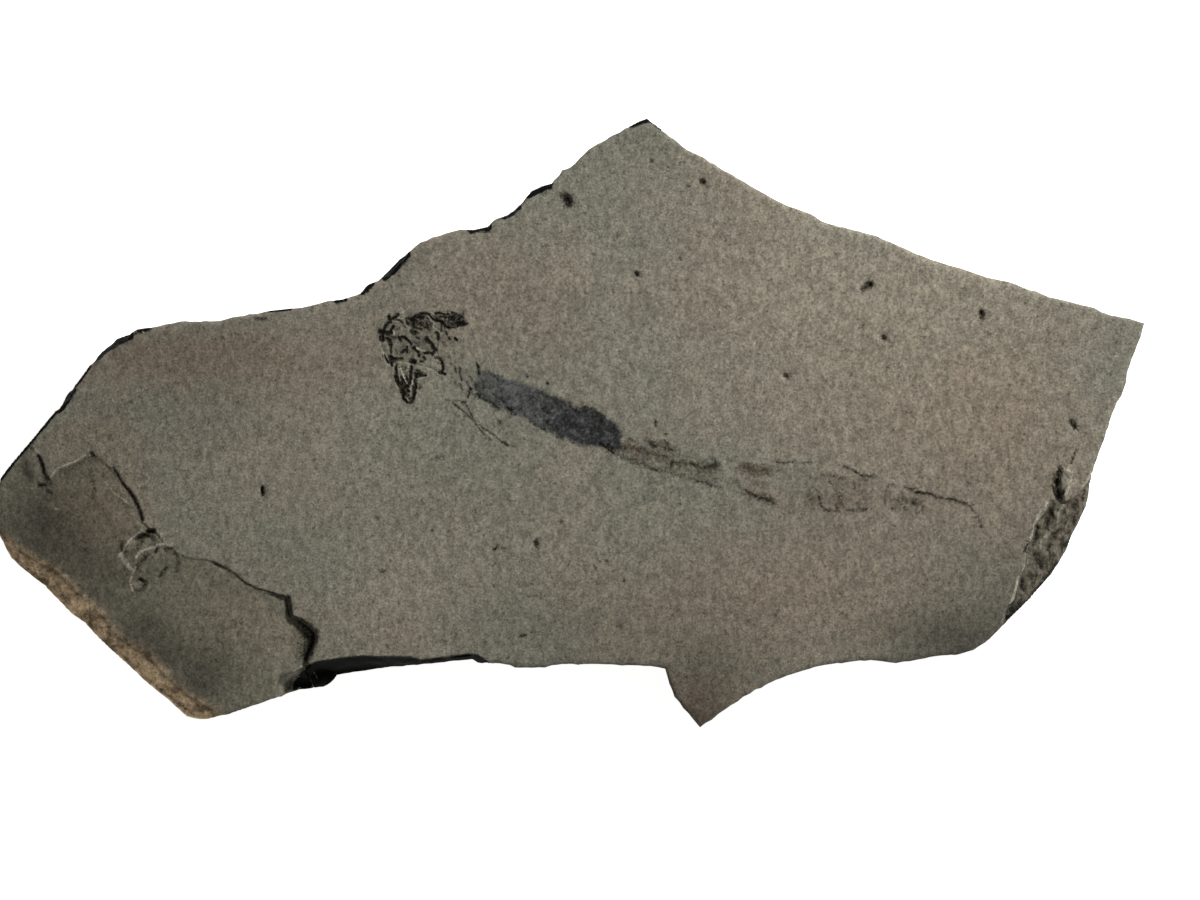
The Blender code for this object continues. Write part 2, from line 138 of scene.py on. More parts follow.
# Strokes: each is the points of a line, its width in pixels, and how strong it is
SNOUT_MARKS = [
    ((389, 316), (390, 319), 5, 1), ((394, 318), (398, 314.5), 4.6, 1), ((391, 319), (394, 318), 3, 0.8),
    ((390, 319), (391, 322), 3.4, 0.7), ((389, 322), (386, 326), (384, 330), 3.6, 0.9),
    ((380, 331), (385, 332), 6, 1), ((388, 333), (391, 332), 6, 1), ((391, 330), (394, 326), 3.8, 0.9),
    ((383, 334), (383.5, 340), 4, 0.9), ((380.5, 336), (380, 340), 2.6, 0.6),
    ((386, 338), (389, 338), 3, 0.7), ((390, 340), (391, 344), 5, 1), ((392, 337), (396, 337), 2.6, 0.55),
    ((391, 346), (391.5, 353), 2.6, 0.75), ((384, 355), (385, 357), 4.2, 1),
    ((385, 357), (389, 363), 2.6, 0.85), ((391, 356.5), (394, 359), 5.2, 1),
    ((394, 359), (398, 358.5), 4.2, 0.9), ((398, 358.5), (403, 358), 3.6, 0.5),
    ((391, 360), (391.5, 365), 4.4, 0.95), ((393, 362), (396, 361), 3.6, 0.55),
]
SKULL_MARKS = [
    ((412, 331), (416, 332), 4.6, 0.9), ((397, 319.5), (400, 320), (403, 322.5), 2.2, 0.65),
    ((406, 321), (408.5, 323.5), 4, 0.65), ((408, 318), (413, 319), 3.4, 0.55),
    ((404, 325), (406, 327), 2.4, 0.35), ((398, 329), (400, 327), 3, 0.35),
    ((412, 330.5), (414.5, 333), 5, 1), ((416, 331.5), (418.5, 333), 3.2, 0.5),
    ((399, 337), (401, 340.5), 3.1, 1), ((402, 336.5), (405, 337), (407, 339), 3.1, 1),
    ((407, 339), (409.5, 341), (412, 344), 2.8, 0.75), ((413, 341), (418, 344), 4, 0.3),
    ((417, 337), (420, 338.5), 2.6, 0.55), ((415, 346), (419, 346), 3, 0.35),
    ((412.5, 320), (413, 318), (416, 315.5), (420, 314), (425, 313), (429, 314), 3.6, 1),
    ((417, 316.5), (423, 317), 5.6, 1), ((413, 320), (416, 320), 4.4, 0.9),
    ((414, 322), (414, 328), 6, 0.5), ((418, 322), (423, 324), 6, 0.5), ((415, 327), (422, 329), 4, 0.55),
    ((426, 321), (428, 325), 5, 0.45), ((425, 327), (429, 327), 2.6, 0.6),
    ((426, 317), (428, 318), 2.6, 0.6), ((427, 338), (428, 340), 5.4, 0.95),
    ((428, 340), (431, 342.5), 4.6, 1), ((432, 343), (433.5, 347), (436, 350), 4.6, 0.8),
    ((435.5, 350), (433, 354), 4.2, 0.8), ((425, 352.5), (430, 352.5), (433, 353), 3.4, 0.8),
    ((436.5, 332.5), (438.5, 334), 4.4, 0.85), ((438.3, 335), (438.3, 338.5), 3.6, 1),
    ((402, 352), (404, 350.5), (406.5, 349), 3.6, 0.8), ((407.5, 346.5), (407.5, 352), 2.2, 0.85),
    ((413.5, 347.5), (415.5, 348.5), 3.6, 1), ((416, 349.5), (418.5, 352), (419.5, 356), 3, 0.9),
    ((413, 360.5), (414.5, 361.5), 7.4, 1), ((424, 356.5), (425.5, 359), (424, 361), (421, 361), 3, 0.8),
    ((436, 357), (440, 358.5), (442, 361), 4, 0.65), ((442, 361), (443.5, 368), (442, 372), 3.4, 0.85),
    ((440, 372), (445, 374), 3.4, 0.9), ((396, 349), (398, 353), 3, 0.25),
    ((405, 343), (403, 347), 3, 0.25),
]
JAW_MARKS = [
    ((438, 319), (447, 321), (460, 323), 9, 0.42), ((444, 314), (456, 317), 7, 0.32),
    ((427, 313), (429.5, 315), 3, 0.85), ((429.5, 315), (431.5, 318.5), (435.5, 320.5), (440, 321), 3.2, 1),
    ((441, 321.5), (444, 323), 4, 1), ((436, 313), (440, 312.8), 3, 0.9),
    ((440, 313), (445, 314.5), 3, 0.8), ((434, 317.5), (441, 318.5), 4, 0.5),
    ((440.5, 316.5), (444, 316.5), 3, 0.8), ((444, 318), (447, 317), 4, 0.6),
    ((447.5, 314), (448.5, 314), 3.6, 0.9), ((452.5, 313.5), (456, 314), 4, 0.95),
    ((449, 317), (459, 316), 5, 0.8), ((450, 319.5), (459.5, 319), 4.4, 1),
    ((461, 317), (463.5, 318), 3.2, 0.9), ((463, 315), (463.5, 312), 2.6, 0.45),
    ((457, 322.5), (463.5, 323), 7.4, 1), ((463, 324), (466, 324), 4.2, 1),
    ((457.5, 324), (458, 325.5), 4, 1), ((448.5, 323), (455, 325), 7.5, 0.55),
    ((446.5, 327), (449, 327), 4, 0.95), ((445, 323), (445, 327), 3.6, 0.75),
    ((449, 328), (455, 327), 2.6, 0.6), ((441, 324), (441.5, 331), 3, 0.5),
    ((445, 329), (444, 334), 3.4, 0.4), ((446.3, 332), (447, 334.5), 2.8, 0.8),
    ((449, 338), (449.8, 339), 3.2, 0.8), ((455.3, 338), (456.8, 340), 3, 1),
]
LEFT_JAW_MARKS = [
    ((397.3, 364.5), (396.3, 368), (397.2, 374), 2.8, 0.95), ((396.3, 376), (397.6, 379.5), 5.2, 1),
    ((397.8, 380), (399.5, 384), (401.5, 387), 4, 1), ((401.7, 376.5), (403.5, 380), (406, 384.5), 2.9, 1),
    ((406.2, 376.3), (408, 379.5), (409.5, 383), 3.8, 1), ((411.7, 366.5), (411.5, 370), 3.5, 1),
    ((411, 371), (411, 378), (409.5, 384), 4.2, 1), ((402, 383), (405, 388), 7.4, 0.75),
    ((406, 386), (408, 386), 6, 1), ((403, 390), (405, 394), 9, 0.85), ((407.5, 390), (408.5, 391), 4.4, 1),
    ((407, 392), (410, 397), 5, 0.5), ((402.5, 396), (404.5, 399.5), (408, 402), 4.2, 1),
    ((410.5, 402), (412, 401), 4.4, 1), ((413.5, 398), (410.5, 398), 4, 0.9),
    ((414.7, 392), (413.3, 399), 4.2, 1), ((415.5, 380), (415.8, 386), (415, 392), 4.3, 1),
    ((413.5, 386), (413.5, 391), 3, 0.8), ((418, 370.5), (419, 371.5), 5, 1),
    ((415.5, 373.5), (421.5, 373.5), 5, 0.9), ((420.5, 375.5), (421.5, 375.5), 4.6, 1),
    ((416.5, 376), (417, 377), 5, 1), ((422, 375), (426, 375), 2.8, 0.95),
    ((404, 364), (406, 374), 3, 0.25), ((408, 372), (408, 376), 2.5, 0.3),
    ((402, 366), (404, 371), 1.6, 0.5),
]
NECK_MARKS = [
    ((474, 384), (478, 391), (486, 398), (492, 403), (498, 409), 7, 0.45), ((470, 392), (478, 397), 5, 0.4),
    ((420, 385), (420, 389), 3, 0.6), ((450, 362), (451, 364), 3, 0.5), ((449, 357), (450, 358), 3, 0.5),
    ((455, 367), (456, 372), 2, 0.8), ((460, 368), (460, 374), (462, 380), 2.6, 0.9),
    ((455, 382), (456, 383), 3, 0.5), ((460, 384), (462, 389), 3, 0.7), ((467, 382), (468, 384), 3, 0.6),
    ((471, 388), (468, 397), 2.3, 0.9), ((462, 402), (465, 402), 4, 0.9), ((469, 391), (471, 389), 4, 0.8),
    ((453, 403), (459, 408), 2.5, 0.9), ((446, 400), (462, 401), 1.6, 0.4),
    ((459, 408), (467, 414), (477, 426), (485, 435), (491, 440), 1.7, 0.7),
    ((464, 401), (469, 410), (474, 420), (483, 428), (494, 435), (503, 443), 1.6, 0.65),
    ((502, 442), (508, 445), 3, 0.85), ((508, 445), (516, 447), 1.5, 0.5), ((475, 398), (478, 393), 3, 0.6),
    ((477, 363), (479, 372), 2.6, 0.8), ((473, 384), (476, 386), 3, 0.7), ((470, 376), (472, 380), 2, 0.5),
    ((466, 369), (467, 372), 2, 0.5),
]
TRUNK_MARKS = [
    ((478, 365), (479, 374), 3.4, 0.9), ((475, 384), (475, 385), 4.4, 0.9),
    ((470, 388), (471, 390), 4.4, 0.9), ((477, 394), (480, 397), 5, 1), ((482, 382), (484, 388), 4.6, 0.65),
    ((484, 399), (487, 401), 3.6, 0.9), ((491, 402), (498, 408), 4, 0.8),
    ((494, 394), (497, 397), 4.4, 0.5), ((501, 399), (504, 401), 4, 0.6), ((508, 408), (513, 410), 4, 1),
    ((511, 413), (516, 414), 3.6, 0.9), ((519, 409), (521, 409), 3.4, 0.7),
    ((534, 415), (535, 416), 3, 0.8), ((524, 414), (525, 415), 3.4, 0.5),
    ((530, 421), (540, 427), (548, 431), 3, 0.85), ((551, 429), (552, 429), 3, 0.7),
    ((557, 436), (563, 438), 4.4, 0.7), ((556, 426), (557, 428), 4.4, 0.6),
    ((547, 421), (549, 423), 3, 0.7), ((543, 402), (548, 412), 7, 0.5), ((541, 393), (546, 397), 6, 0.4),
    ((528, 397), (533, 403), 5, 0.4), ((555, 397), (557, 401), 4, 0.55), ((569, 400), (571, 405), 4.4, 0.6),
    ((583, 407), (592, 409), (604, 417), 4.6, 0.75), ((600, 443), (607, 448), (614, 453), 3.6, 1),
    ((608, 444), (612, 449), 3, 0.9), ((618, 446), (624, 450), 4, 0.95), ((489, 372), (496, 378), 5, 0.3),
    ((563, 418), (572, 426), 7, 0.4), ((601, 420), (604, 424), 5, 0.6), ((598, 429), (601, 433), 5, 0.5),
    ((612, 428), (614, 436), 6, 0.5), ((576, 424), (580, 427), 4, 0.6), ((573, 410), (578, 413), 4, 0.5),
]
TAIL_MARKS = [
    ((600, 443), (612, 450), (625, 457), (640, 463), (656, 469), 5.4, 0.5),
    ((657, 470), (680, 475), (700, 481), 4, 0.4), ((640, 447), (652, 452), (668, 458), 6, 0.3),
    ((700, 470), (716, 468), 6, 0.3), ((655, 421), (656, 425), 4, 1), ((665, 434), (667, 434), 3.4, 1),
    ((630, 439), (635, 441), 3, 0.6), ((650, 442), (654, 446), 5.6, 0.8),
    ((667, 443), (669, 448), 3.6, 0.7), ((662, 447), (672, 449), 3, 0.6), ((663, 441), (665, 441), 3, 0.5),
    ((621, 458), (626, 459), 3.4, 0.55), ((630, 462), (640, 465), 2.2, 0.5),
    ((651, 469), (658, 470.5), 3.6, 1), ((648, 466), (653, 468), 2, 0.5),
    ((672, 462), (671, 467), 4.2, 0.95), ((676, 464), (679, 462), 3.4, 0.6),
    ((669, 467), (664, 470), 3, 0.4), ((677, 475), (682, 475), 2.4, 0.5),
    ((684, 477), (694, 480), 1.8, 0.35), ((690, 463), (696, 466), 3, 0.8),
    ((698, 467), (710, 467), 3, 0.65), ((705, 468), (707, 468), 4.4, 0.7),
    ((714, 467), (716, 463), 5.6, 0.8), ((717, 464), (719, 464), 4.4, 0.7),
    ((711, 456), (713, 460), 4.4, 0.45), ((695, 481), (705, 482.5), 2.2, 0.7),
    ((706, 483), (712, 485.5), 3, 1), ((712, 485.5), (722, 487), 2.2, 0.5),
    ((735, 481), (737, 482), 3.6, 0.65), ((737, 483), (741, 487), 2.4, 0.4),
    ((747, 491), (757, 496), 4, 0.7), ((760, 498), (766, 498), 3.4, 0.8),
    ((764, 493), (766, 497), 2.6, 0.6), ((768, 500), (774, 504), 4, 0.75), ((770, 496), (773, 500), 3, 0.7),
    ((776, 471), (780, 470), 2.4, 0.4), ((643, 495), (645, 500), 4, 0.35), ((679, 503), (680, 504), 4, 0.4),
    ((650, 482), (651, 482), 3, 0.45), ((777, 462), (787, 463), (795, 461), 3, 0.7),
    ((803, 463), (811, 463), 3, 0.65), ((738, 462), (756, 464), 2, 0.3),
    ((844, 466), (850, 469), (858, 473), 3, 0.85), ((860, 475), (875, 477), 4.4, 0.85),
    ((865, 480), (867, 482), 3.4, 0.5), ((823, 475), (832, 476), 3, 0.4),
    ((833, 476), (841, 479), 3.8, 0.65), ((831, 482), (833, 485), 3.4, 0.5),
    ((854, 483), (855, 488), 3.4, 0.4), ((819, 497), (821, 505), (825, 510), (834, 511), 3.4, 0.7),
    ((837, 504), (838, 512), 3.4, 0.8), ((838, 490), (841, 505), 5, 0.3), ((808, 487), (812, 508), 5, 0.25),
    ((848, 510), (856, 511), 3, 0.75), ((857, 503), (860, 510), 3.4, 0.5), ((861, 511), (869, 508), 3, 0.6),
    ((888, 486), (893, 484), (896, 487), 3, 0.7), ((887, 492), (884, 505), 3.4, 0.35),
    ((889, 508), (894, 509), 3.4, 0.5), ((903, 499), (907, 503), 4.6, 0.6),
    ((904, 508), (906, 510), 4, 0.6), ((912, 502), (917, 505), 4.6, 0.65), ((916, 508), (917, 513), 3, 0.6),
    ((922, 508), (923, 512), 3.4, 0.6), ((899, 502), (902, 506), 4.6, 0.35),
    ((905, 487), (910, 489), (916, 490), 4.4, 0.85),
    ((916, 492), (924, 493), (930, 494), (935, 496), 4.6, 1), ((935, 497), (946, 499), 3.4, 0.6),
    ((947, 499), (953, 499), (960, 502), (966, 504), 4.2, 1),
    ((968, 504), (973, 510), (976, 515), (979, 520), (981, 527), 3, 0.6),
    ((967, 483), (968, 490), 3.4, 0.3),
]
# Wide, faint stains of the tail and its fin: brown, then pink
BROWN_STAINS = [
    ((388, 335), (432, 345), 40, 0.3), ((408, 320), (428, 326), 20, 0.7),
    ((402, 352), (424, 352), 20, 0.35),
    ((598, 434), (622, 446), (650, 458), (690, 468), (712, 476), 30, 0.34),
    ((652, 445), (672, 450), 13, 0.6), ((624, 446), (650, 454), 16, 0.55),
    ((650, 452), (680, 466), 16, 0.4), ((645, 440), (668, 445), 10, 0.35),
    ((670, 463), (716, 466), 12, 0.6), ((686, 468), (722, 474), 15, 0.3),
    ((742, 468), (768, 471), 13, 0.75), ((752, 482), (766, 486), 14, 0.3),
    ((745, 493), (775, 502), 11, 0.5), ((775, 468), (812, 474), 18, 0.16),
    ((812, 478), (862, 486), 26, 0.2), ((812, 498), (866, 500), 24, 0.24),
    ((886, 498), (920, 502), 24, 0.28), ((868, 484), (880, 490), 14, 0.18),
    ((925, 500), (955, 504), 12, 0.15), ((700, 478), (738, 482), 12, 0.15),
]
PINK_STAINS = [
    ((626, 444), (640, 456), 14, 0.8), ((646, 432), (652, 440), 12, 0.5), ((742, 468), (768, 471), 14, 0.8),
    ((750, 482), (772, 492), 18, 0.5), ((780, 500), (860, 500), 34, 0.35),
]

# Dark hollows of the stone, spots, cracks and shadows, each with its depth in millimetres at the end
# Their dark is partly the stone's own and partly painted shadow, in the hollows, below the scar's steps and
# beside the fracture's lump
SPOTS = [
    ((377, 518), (378, 519), 4, 0.6, 0.1), ((381, 571), (383, 571), 5, 0.6, 0.1),
    ((494, 550), (499, 545), 3.4, 0.8, 0.1), ((521, 636), (525, 635), 4, 0.8, 0.1),
    ((437, 458), (440, 457), 4, 0.5, 0.1), ((564, 197), (569, 204), 12, 0.9, 0.5),
    ((701, 182), (703, 183), 6, 0.8, 0.3), ((863, 289), (871, 284), 7, 0.85, 0.4),
    ((883, 338), (884, 339), 6, 0.75, 0.3), ((981, 312), (981, 318), 6, 0.8, 0.35),
    ((785, 376), (786, 377), 4.5, 0.6, 0.2), ((1070, 422), (1075, 428), 5, 0.8, 0.4),
    ((262, 488), (262, 495), 4.5, 0.95, 0.4), ((636, 274), (637, 275), 5.5, 0.85, 0.3),
    ((535, 543), (536, 546), 6, 0.7, 0.2), ((651, 160), (652, 161), 4, 0.7, 0.15),
    ((668, 167), (669, 168), 3, 0.6, 0.1), ((688, 186), (689, 186), 3.5, 0.7, 0.1),
    ((863, 325), (863, 326), 4, 0.6, 0.1), ((130, 401), (131, 402), 4.5, 0.6, 0.1),
    ((541, 192), (544, 194), 6, 0.5, 0.1), ((617, 236), (618, 236), 4, 0.5, 0.1),
    ((680, 258), (680, 259), 4, 0.5, 0.1), ((256, 319), (266, 319), 4, 0.7, 0.2),
    ((606, 562), (607, 562), 5, 0.6, 0.1), ((624, 580), (624, 581), 3.5, 0.6, 0.1),
    ((619, 626), (621, 627), 5, 0.5, 0.1), ((522, 636), (523, 636), 4.5, 0.6, 0.1),
    ((531, 632), (532, 632), 3, 0.6, 0.1), ((507, 658), (508, 658), 4, 0.6, 0.1),
    ((526, 375), (527, 376), 4, 0.85, 0.15), ((547, 383), (548, 384), 3.5, 0.85, 0.1),
    ((499, 422), (500, 423), 4, 0.7, 0.1), ((503, 548), (504, 549), 5, 0.45, 0.1),
    ((382, 572), (383, 573), 5, 0.4, 0.1), ((431, 531), (432, 532), 4, 0.45, 0.1),
    ((560, 521), (561, 522), 4, 0.45, 0.1),
]
CRACKS_AND_SHADOWS = [
    ((38, 456), (42, 465), (43.5, 473), 4.6, 1, 0.5), ((39, 486), (45, 485), 5, 1, 0.5),
    ((45, 478), (48, 483), 8, 0.5, 0.3), ((46, 491), (51, 493), 4, 0.6, 0.2),
    ((91, 453), (93, 456), 5, 0.85, 0.3), ((65, 472), (90, 460), 6, 0.2, 0.1),
    ((113, 468), (118, 476), (123, 484), (128, 490), 3.4, 0.9, 0.3),
    ((128, 490), (133, 497), (137, 505), 4.6, 1, 0.4), ((137, 505), (140, 512), (142, 520), 4, 0.95, 0.4),
    ((92, 480), (94, 490), (92, 498), 3.4, 0.4, 0.1), ((147, 532), (153, 531), 5.4, 1, 0.9),
    ((137, 539), (146, 535), 6.4, 0.9, 0.8), ((135, 548), (140, 542), 6, 0.45, 0.4),
    ((157, 548), (155, 553), 3.4, 0.8, 0.3), ((148, 555), (138, 564), (135, 569), 4.4, 0.6, 0.3),
    ((165, 550), (172, 549), 4.4, 0.6, 0.3), ((174, 553), (178, 560), (176, 572), 5, 0.5, 0.3),
    ((166, 568), (159, 577), 3.6, 0.8, 0.3), ((140, 580), (146, 583), (143, 589), (136, 591), 5, 0.5, 0.3),
    ((214, 564), (226, 569), (236, 576), 4.4, 0.4, 0.2),
    ((236, 576), (246, 584), (256, 588), 3.4, 0.5, 0.2),
    ((258, 589), (272, 593), (287, 597), 2.2, 0.8, 0.2), ((288, 598), (290, 614), 5, 1, 0.8),
    ((300, 621), (309, 627), (314, 635), 7, 0.95, 0.6), ((314, 633), (312, 646), (306, 659), 9, 1, 0.8),
    ((305, 627), (307, 640), (303, 655), 18, 0.6, 0.3),
    ((1060, 470), (1057, 478), (1057, 488), (1059, 498), 9, 1, 0.6),
    ((1064, 491), (1061, 498), 6, 0.95, 0.5), ((1064, 472), (1068, 478), 5, 0.5, 0.2),
    ((1076, 450), (1071, 463), 2.6, 0.7, 0.2), ((1053, 503), (1050, 510), (1051, 516), 6, 0.5, 0.4),
    ((1049, 520), (1046, 528), 6, 0.65, 0.4), ((1037, 528), (1036, 538), (1033, 545), 6, 0.65, 0.4),
    ((1028, 543), (1025, 551), 4.6, 0.8, 0.4), ((1035, 556), (1038, 563), (1042, 568), 10, 0.5, 0.4),
    ((1022, 580), (1021, 586), (1024, 590), 5.4, 0.8, 0.4),
    ((1060, 530), (1052, 541), (1049, 550), 4.4, 0.5, 0.3), ((1011, 610), (1012, 617), 6, 0.75, 0.3),
    ((1072, 538), (1066, 546), 4, 0.6, 0.2), ((1058, 562), (1052, 571), (1045, 579), 5, 0.75, 0.2),
    ((1041, 585), (1032, 596), 6, 0.8, 0.3), ((1028, 602), (1015, 612), (1004, 620), 4.6, 0.7, 0.3),
    ((1078, 493), (1076, 500), 3.4, 0.5, 0.1), ((1084, 490), (1083, 500), 3.4, 0.45, 0.1),
    ((160, 690), (176, 702), (192, 714), 3, 0.4, 0.1),
]
HOLLOWS = [stroke[:-1] for stroke in SPOTS + CRACKS_AND_SHADOWS]
# Painted shadow on the steep faces of chips along the upper left edge
RIM_SHADOWS = [
    ((94, 358), (104, 349), (116, 341), (130, 336), 5, 1), ((60, 408), (66, 400), (72, 390), 5, 1),
    ((2, 474), (14, 458), (32, 437), (45, 424), 3, 0.8), ((385, 276), (394, 268), (406, 254), 6, 1),
    ((362, 292), (372, 283), 3, 0.9), ((472, 230), (480, 227), (488, 227), 5, 1),
    ((505, 216), (512, 211), (518, 207), 4, 1), ((528, 196), (550, 185), 2.4, 0.9),
    ((632, 124), (642, 120), (650, 118), 4.4, 0.9), ((650, 118), (662, 128), 2.2, 0.5),
    ((140, 331), (150, 327), 2.4, 0.6), ((0, 478), (12, 462), (25, 447), (50, 417), (58, 408), 3, 1),
    ((66, 394), (78, 381), (88, 367), 2.4, 1), ((336, 301), (345, 299), 2, 0.8),
    ((270, 310), (290, 308), 2, 0.8),
]
# Light strokes: bruised stone, and painted highlights on the lump's lit rim and the bones' ridges
BRUISES_AND_HIGHLIGHTS = [
    ((283, 683), (291, 676), (302, 667), 5, 0.5),
    ((436, 654), (447, 643), (458, 635), (470, 628), 2.4, 0.5),
    ((1049, 498), (1045, 507), (1038, 515), (1034, 524), (1033, 531), (1030, 538), 3, 0.75),
    ((1026, 556), (1027, 563), (1023, 571), 4, 0.45),
    ((1018, 577), (1016, 585), (1014, 595), (1010, 604), 3.4, 0.7),
    ((1067, 467), (1073, 473), (1071, 480), (1068, 488), (1063, 498), 2.6, 0.95),
    ((1088, 477), (1086, 485), 3.4, 0.6), ((1064, 505), (1059, 513), (1058, 524), 4, 0.5),
    ((1050, 533), (1042, 540), (1041, 548), 3.6, 0.5), ((1079, 492), (1077, 498), 2.4, 0.5),
    ((1068, 508), (1065, 520), 5, 0.25),
    ((50, 478), (57, 468), (63, 466), (70, 463), (76, 461), (80, 458), (86, 455), 2.4, 0.9),
    ((35, 450), (41, 455), 2.2, 0.8),
    ((104, 481), (109, 486), (112, 491), (118, 496), (125, 501), (129, 505), 2.2, 0.55),
    ((66, 495), (76, 506), (82, 514), 2.6, 0.3), ((56, 509), (60, 510), 3, 0.5),
    ((122, 553), (126, 545), (131, 539), (138, 533), (142, 530), 3.6, 0.75),
    ((120, 555), (124, 560), (128, 566), (131, 569), 7, 0.7),
    ((136, 557), (140, 552), (147, 549), (153, 547), (163, 544), 4, 0.9), ((163, 544), (170, 545), 5, 0.75),
    ((161, 534), (160, 541), 2.8, 0.85), ((150, 540), (156, 540), 5, 0.25),
    ((136, 567), (132, 574), (130, 581), (131, 587), (133, 591), 2.6, 0.75),
    ((184, 556), (192, 558), (200, 559), 2, 0.7), ((275, 593), (281, 595), 2.5, 0.5),
    ((240, 576), (248, 585), 1.5, 0.4), ((283, 688), (291, 680), 6, 0.45),
    ((293, 679), (305, 669), (310, 663), 5, 0.75), ((310, 668), (317, 680), 1.8, 0.5),
    ((1064, 468), (1072, 474), (1071, 484), (1064, 499), 1.9, 0.8), ((1072, 474), (1075, 473), 1.6, 0.7),
    ((1089, 474), (1086, 482), (1079, 492), (1077, 500), 2, 0.55), ((1091, 473), (1087, 480), 4, 0.6),
    ((1051, 496), (1047, 505), (1044, 513), (1036, 521), (1033, 533), 1.9, 0.65),
    ((1033, 533), (1031, 540), (1024, 546), 1.8, 0.6), ((1027, 556), (1026, 565), 3, 0.6),
    ((1019, 580), (1016, 590), (1013, 600), 2.4, 0.65), ((1008, 607), (1003, 617), (1001, 624), 2.2, 0.55),
    ((1060, 510), (1058, 526), (1050, 533), (1043, 545), 2, 0.45), ((1070, 520), (1066, 530), 2, 0.35),
    ((143, 332), (144, 333), 3, 1), ((851, 548), (852, 549), 2.5, 0.6),
    ((400.5, 368), (402, 372), (405, 378), 3, 1), ((405, 380), (407, 383), 2.2, 0.6),
    ((412.5, 381), (412.5, 384), 3, 0.8), ((411.5, 386), (411.5, 390), 2, 0.5),
    ((407, 398), (408.5, 400.5), 2.2, 0.7), ((417.5, 348), (421, 350), (424, 351), 3.4, 1),
    ((385, 342), (389, 350), 3, 0.5), ((394, 331), (394.5, 334), 3, 0.8), ((401, 309), (403, 313), 5, 0.7),
    ((404, 316), (405, 324), 2.6, 0.6), ((398.5, 365), (399.5, 371), 3, 0.5),
    ((419, 379), (425, 378), 3.6, 0.5), ((427, 315), (433, 322), 2, 0.5), ((450, 351), (451, 355), 3, 0.7),
    ((445, 351), (447, 352), 2.5, 0.6), ((383, 352), (385, 362), 2, 0.5), ((432, 313), (434, 314), 3, 0.5),
    ((441, 319), (443, 319), 2.5, 0.6), ((441, 310), (443, 311), 3, 0.6), ((434, 323), (434, 327), 4, 0.5),
    ((436, 340), (437, 342), 3, 0.5), ((426, 362), (430, 368), 6, 0.35),
    ((475, 420), (485, 431), (497, 443), 1.6, 0.35), ((425, 588), (432, 592), (440, 585), 1.5, 0.3),
    ((446, 640), (458, 632), (470, 626), 1.6, 0.35),
]

# Where the stone's surface is finest, as strokes too
HEAD_REGION = [
    ((385, 325), (455, 325), 34, 1), ((392, 350), (410, 395), 34, 1), ((420, 345), (480, 400), 60, 1),
    ((455, 400), (512, 445), 16, 1),
]

# Broad lighter and darker parts of the stone: place, reach across and down in pixels, and brightness
# Partly the stone's own tone and partly painted light and shade: lighter to the upper right, darker at the
# lower edges and in the scar
PAINTED_LIGHT_AND_TONE = [
    (880, 290, 200, 130, 1.2), (560, 260, 160, 120, 1.02), (190, 420, 190, 100, 0.84),
    (260, 470, 130, 50, 1.12), (360, 410, 90, 60, 1.12), (410, 600, 90, 60, 1.14),
    (600, 640, 200, 60, 0.84), (700, 715, 46, 50, 0.48), (720, 665, 60, 24, 0.84), (960, 640, 80, 34, 0.46),
    (1060, 560, 60, 60, 0.8), (40, 530, 50, 56, 0.5), (100, 575, 50, 34, 0.64), (140, 640, 40, 34, 0.6),
    (205, 672, 34, 34, 0.56), (640, 125, 60, 40, 0.9), (1130, 330, 60, 50, 0.9), (170, 350, 120, 26, 0.84),
    (960, 590, 60, 60, 0.86), (1010, 600, 30, 50, 0.85), (150, 622, 17, 14, 0.74), (164, 655, 17, 12, 0.68),
    (196, 686, 15, 12, 0.7), (58, 522, 30, 16, 0.82), (80, 545, 20, 14, 0.85), (230, 620, 60, 40, 1.06),
    (820, 520, 90, 30, 0.95), (90, 420, 60, 40, 0.95),
]
# The same for how pink the stone is, with the amount of pink at the end
BLUSHES = [
    (940, 380, 150, 110, 0.6), (780, 590, 160, 70, 0.8), (1010, 480, 80, 90, 0.5), (640, 300, 120, 60, 0.2),
    (480, 300, 90, 60, 0.5), (100, 510, 50, 50, 0.8), (230, 620, 90, 60, 0.5), (200, 360, 140, 30, 1.1),
    (700, 250, 60, 80, 0.3), (90, 440, 60, 30, 0.5), (400, 620, 120, 40, 0.25), (700, 710, 60, 40, 0.9),
    (60, 560, 90, 60, 0.4),
]


def millimetres(pixels):
    """Points of the photograph as millimetres in the part's frame."""
    across, down = np.array(pixels, dtype=float).T
    x = (across - MIDDLE_X_PIXEL) * MM_PER_PIXEL
    y = (MIDDLE_Y_PIXEL - down) * MM_PER_PIXEL
    return np.column_stack([x, y])


def distance(points, line):
    """How far each point is from the nearest stretch of the line."""
    nearest = np.full(len(points), np.inf)
    for start, end in zip(line[:-1], line[1:]):
        along = end - start
        across = points - start
        share = np.clip(across @ along / max(along @ along, SMALLEST), 0, 1)
        across -= share[:, None] * along
        nearest = np.minimum(nearest, np.einsum("ij,ij->i", across, across))
    return np.sqrt(nearest)


def inside(points, loop):
    """Which points lie inside the closed loop."""
    within = np.zeros(len(points), dtype=bool)
    x, y = points.T
    for (x0, y0), (x1, y1) in zip(loop, np.roll(loop, -1, axis=0)):
        if y0 != y1:
            spans = (y0 > y) != (y1 > y)
            within ^= spans & (x < (x1 - x0) * (y - y0) / (y1 - y0) + x0)
    return within


def signed_distance(points, pixels, reach=FAR):
    """Millimetres into the loop of pixels, above zero inside and below zero outside, to reach at most."""
    loop = millimetres(pixels)
    values = np.full(len(points), -reach)
    near = np.all((points > loop.min(axis=0) - reach) & (points < loop.max(axis=0) + reach), axis=1)
    away = distance(points[near], np.vstack([loop, loop[:1]]))
    values[near] = np.where(inside(points[near], loop), away, -away)
    return np.clip(values, -reach, reach)


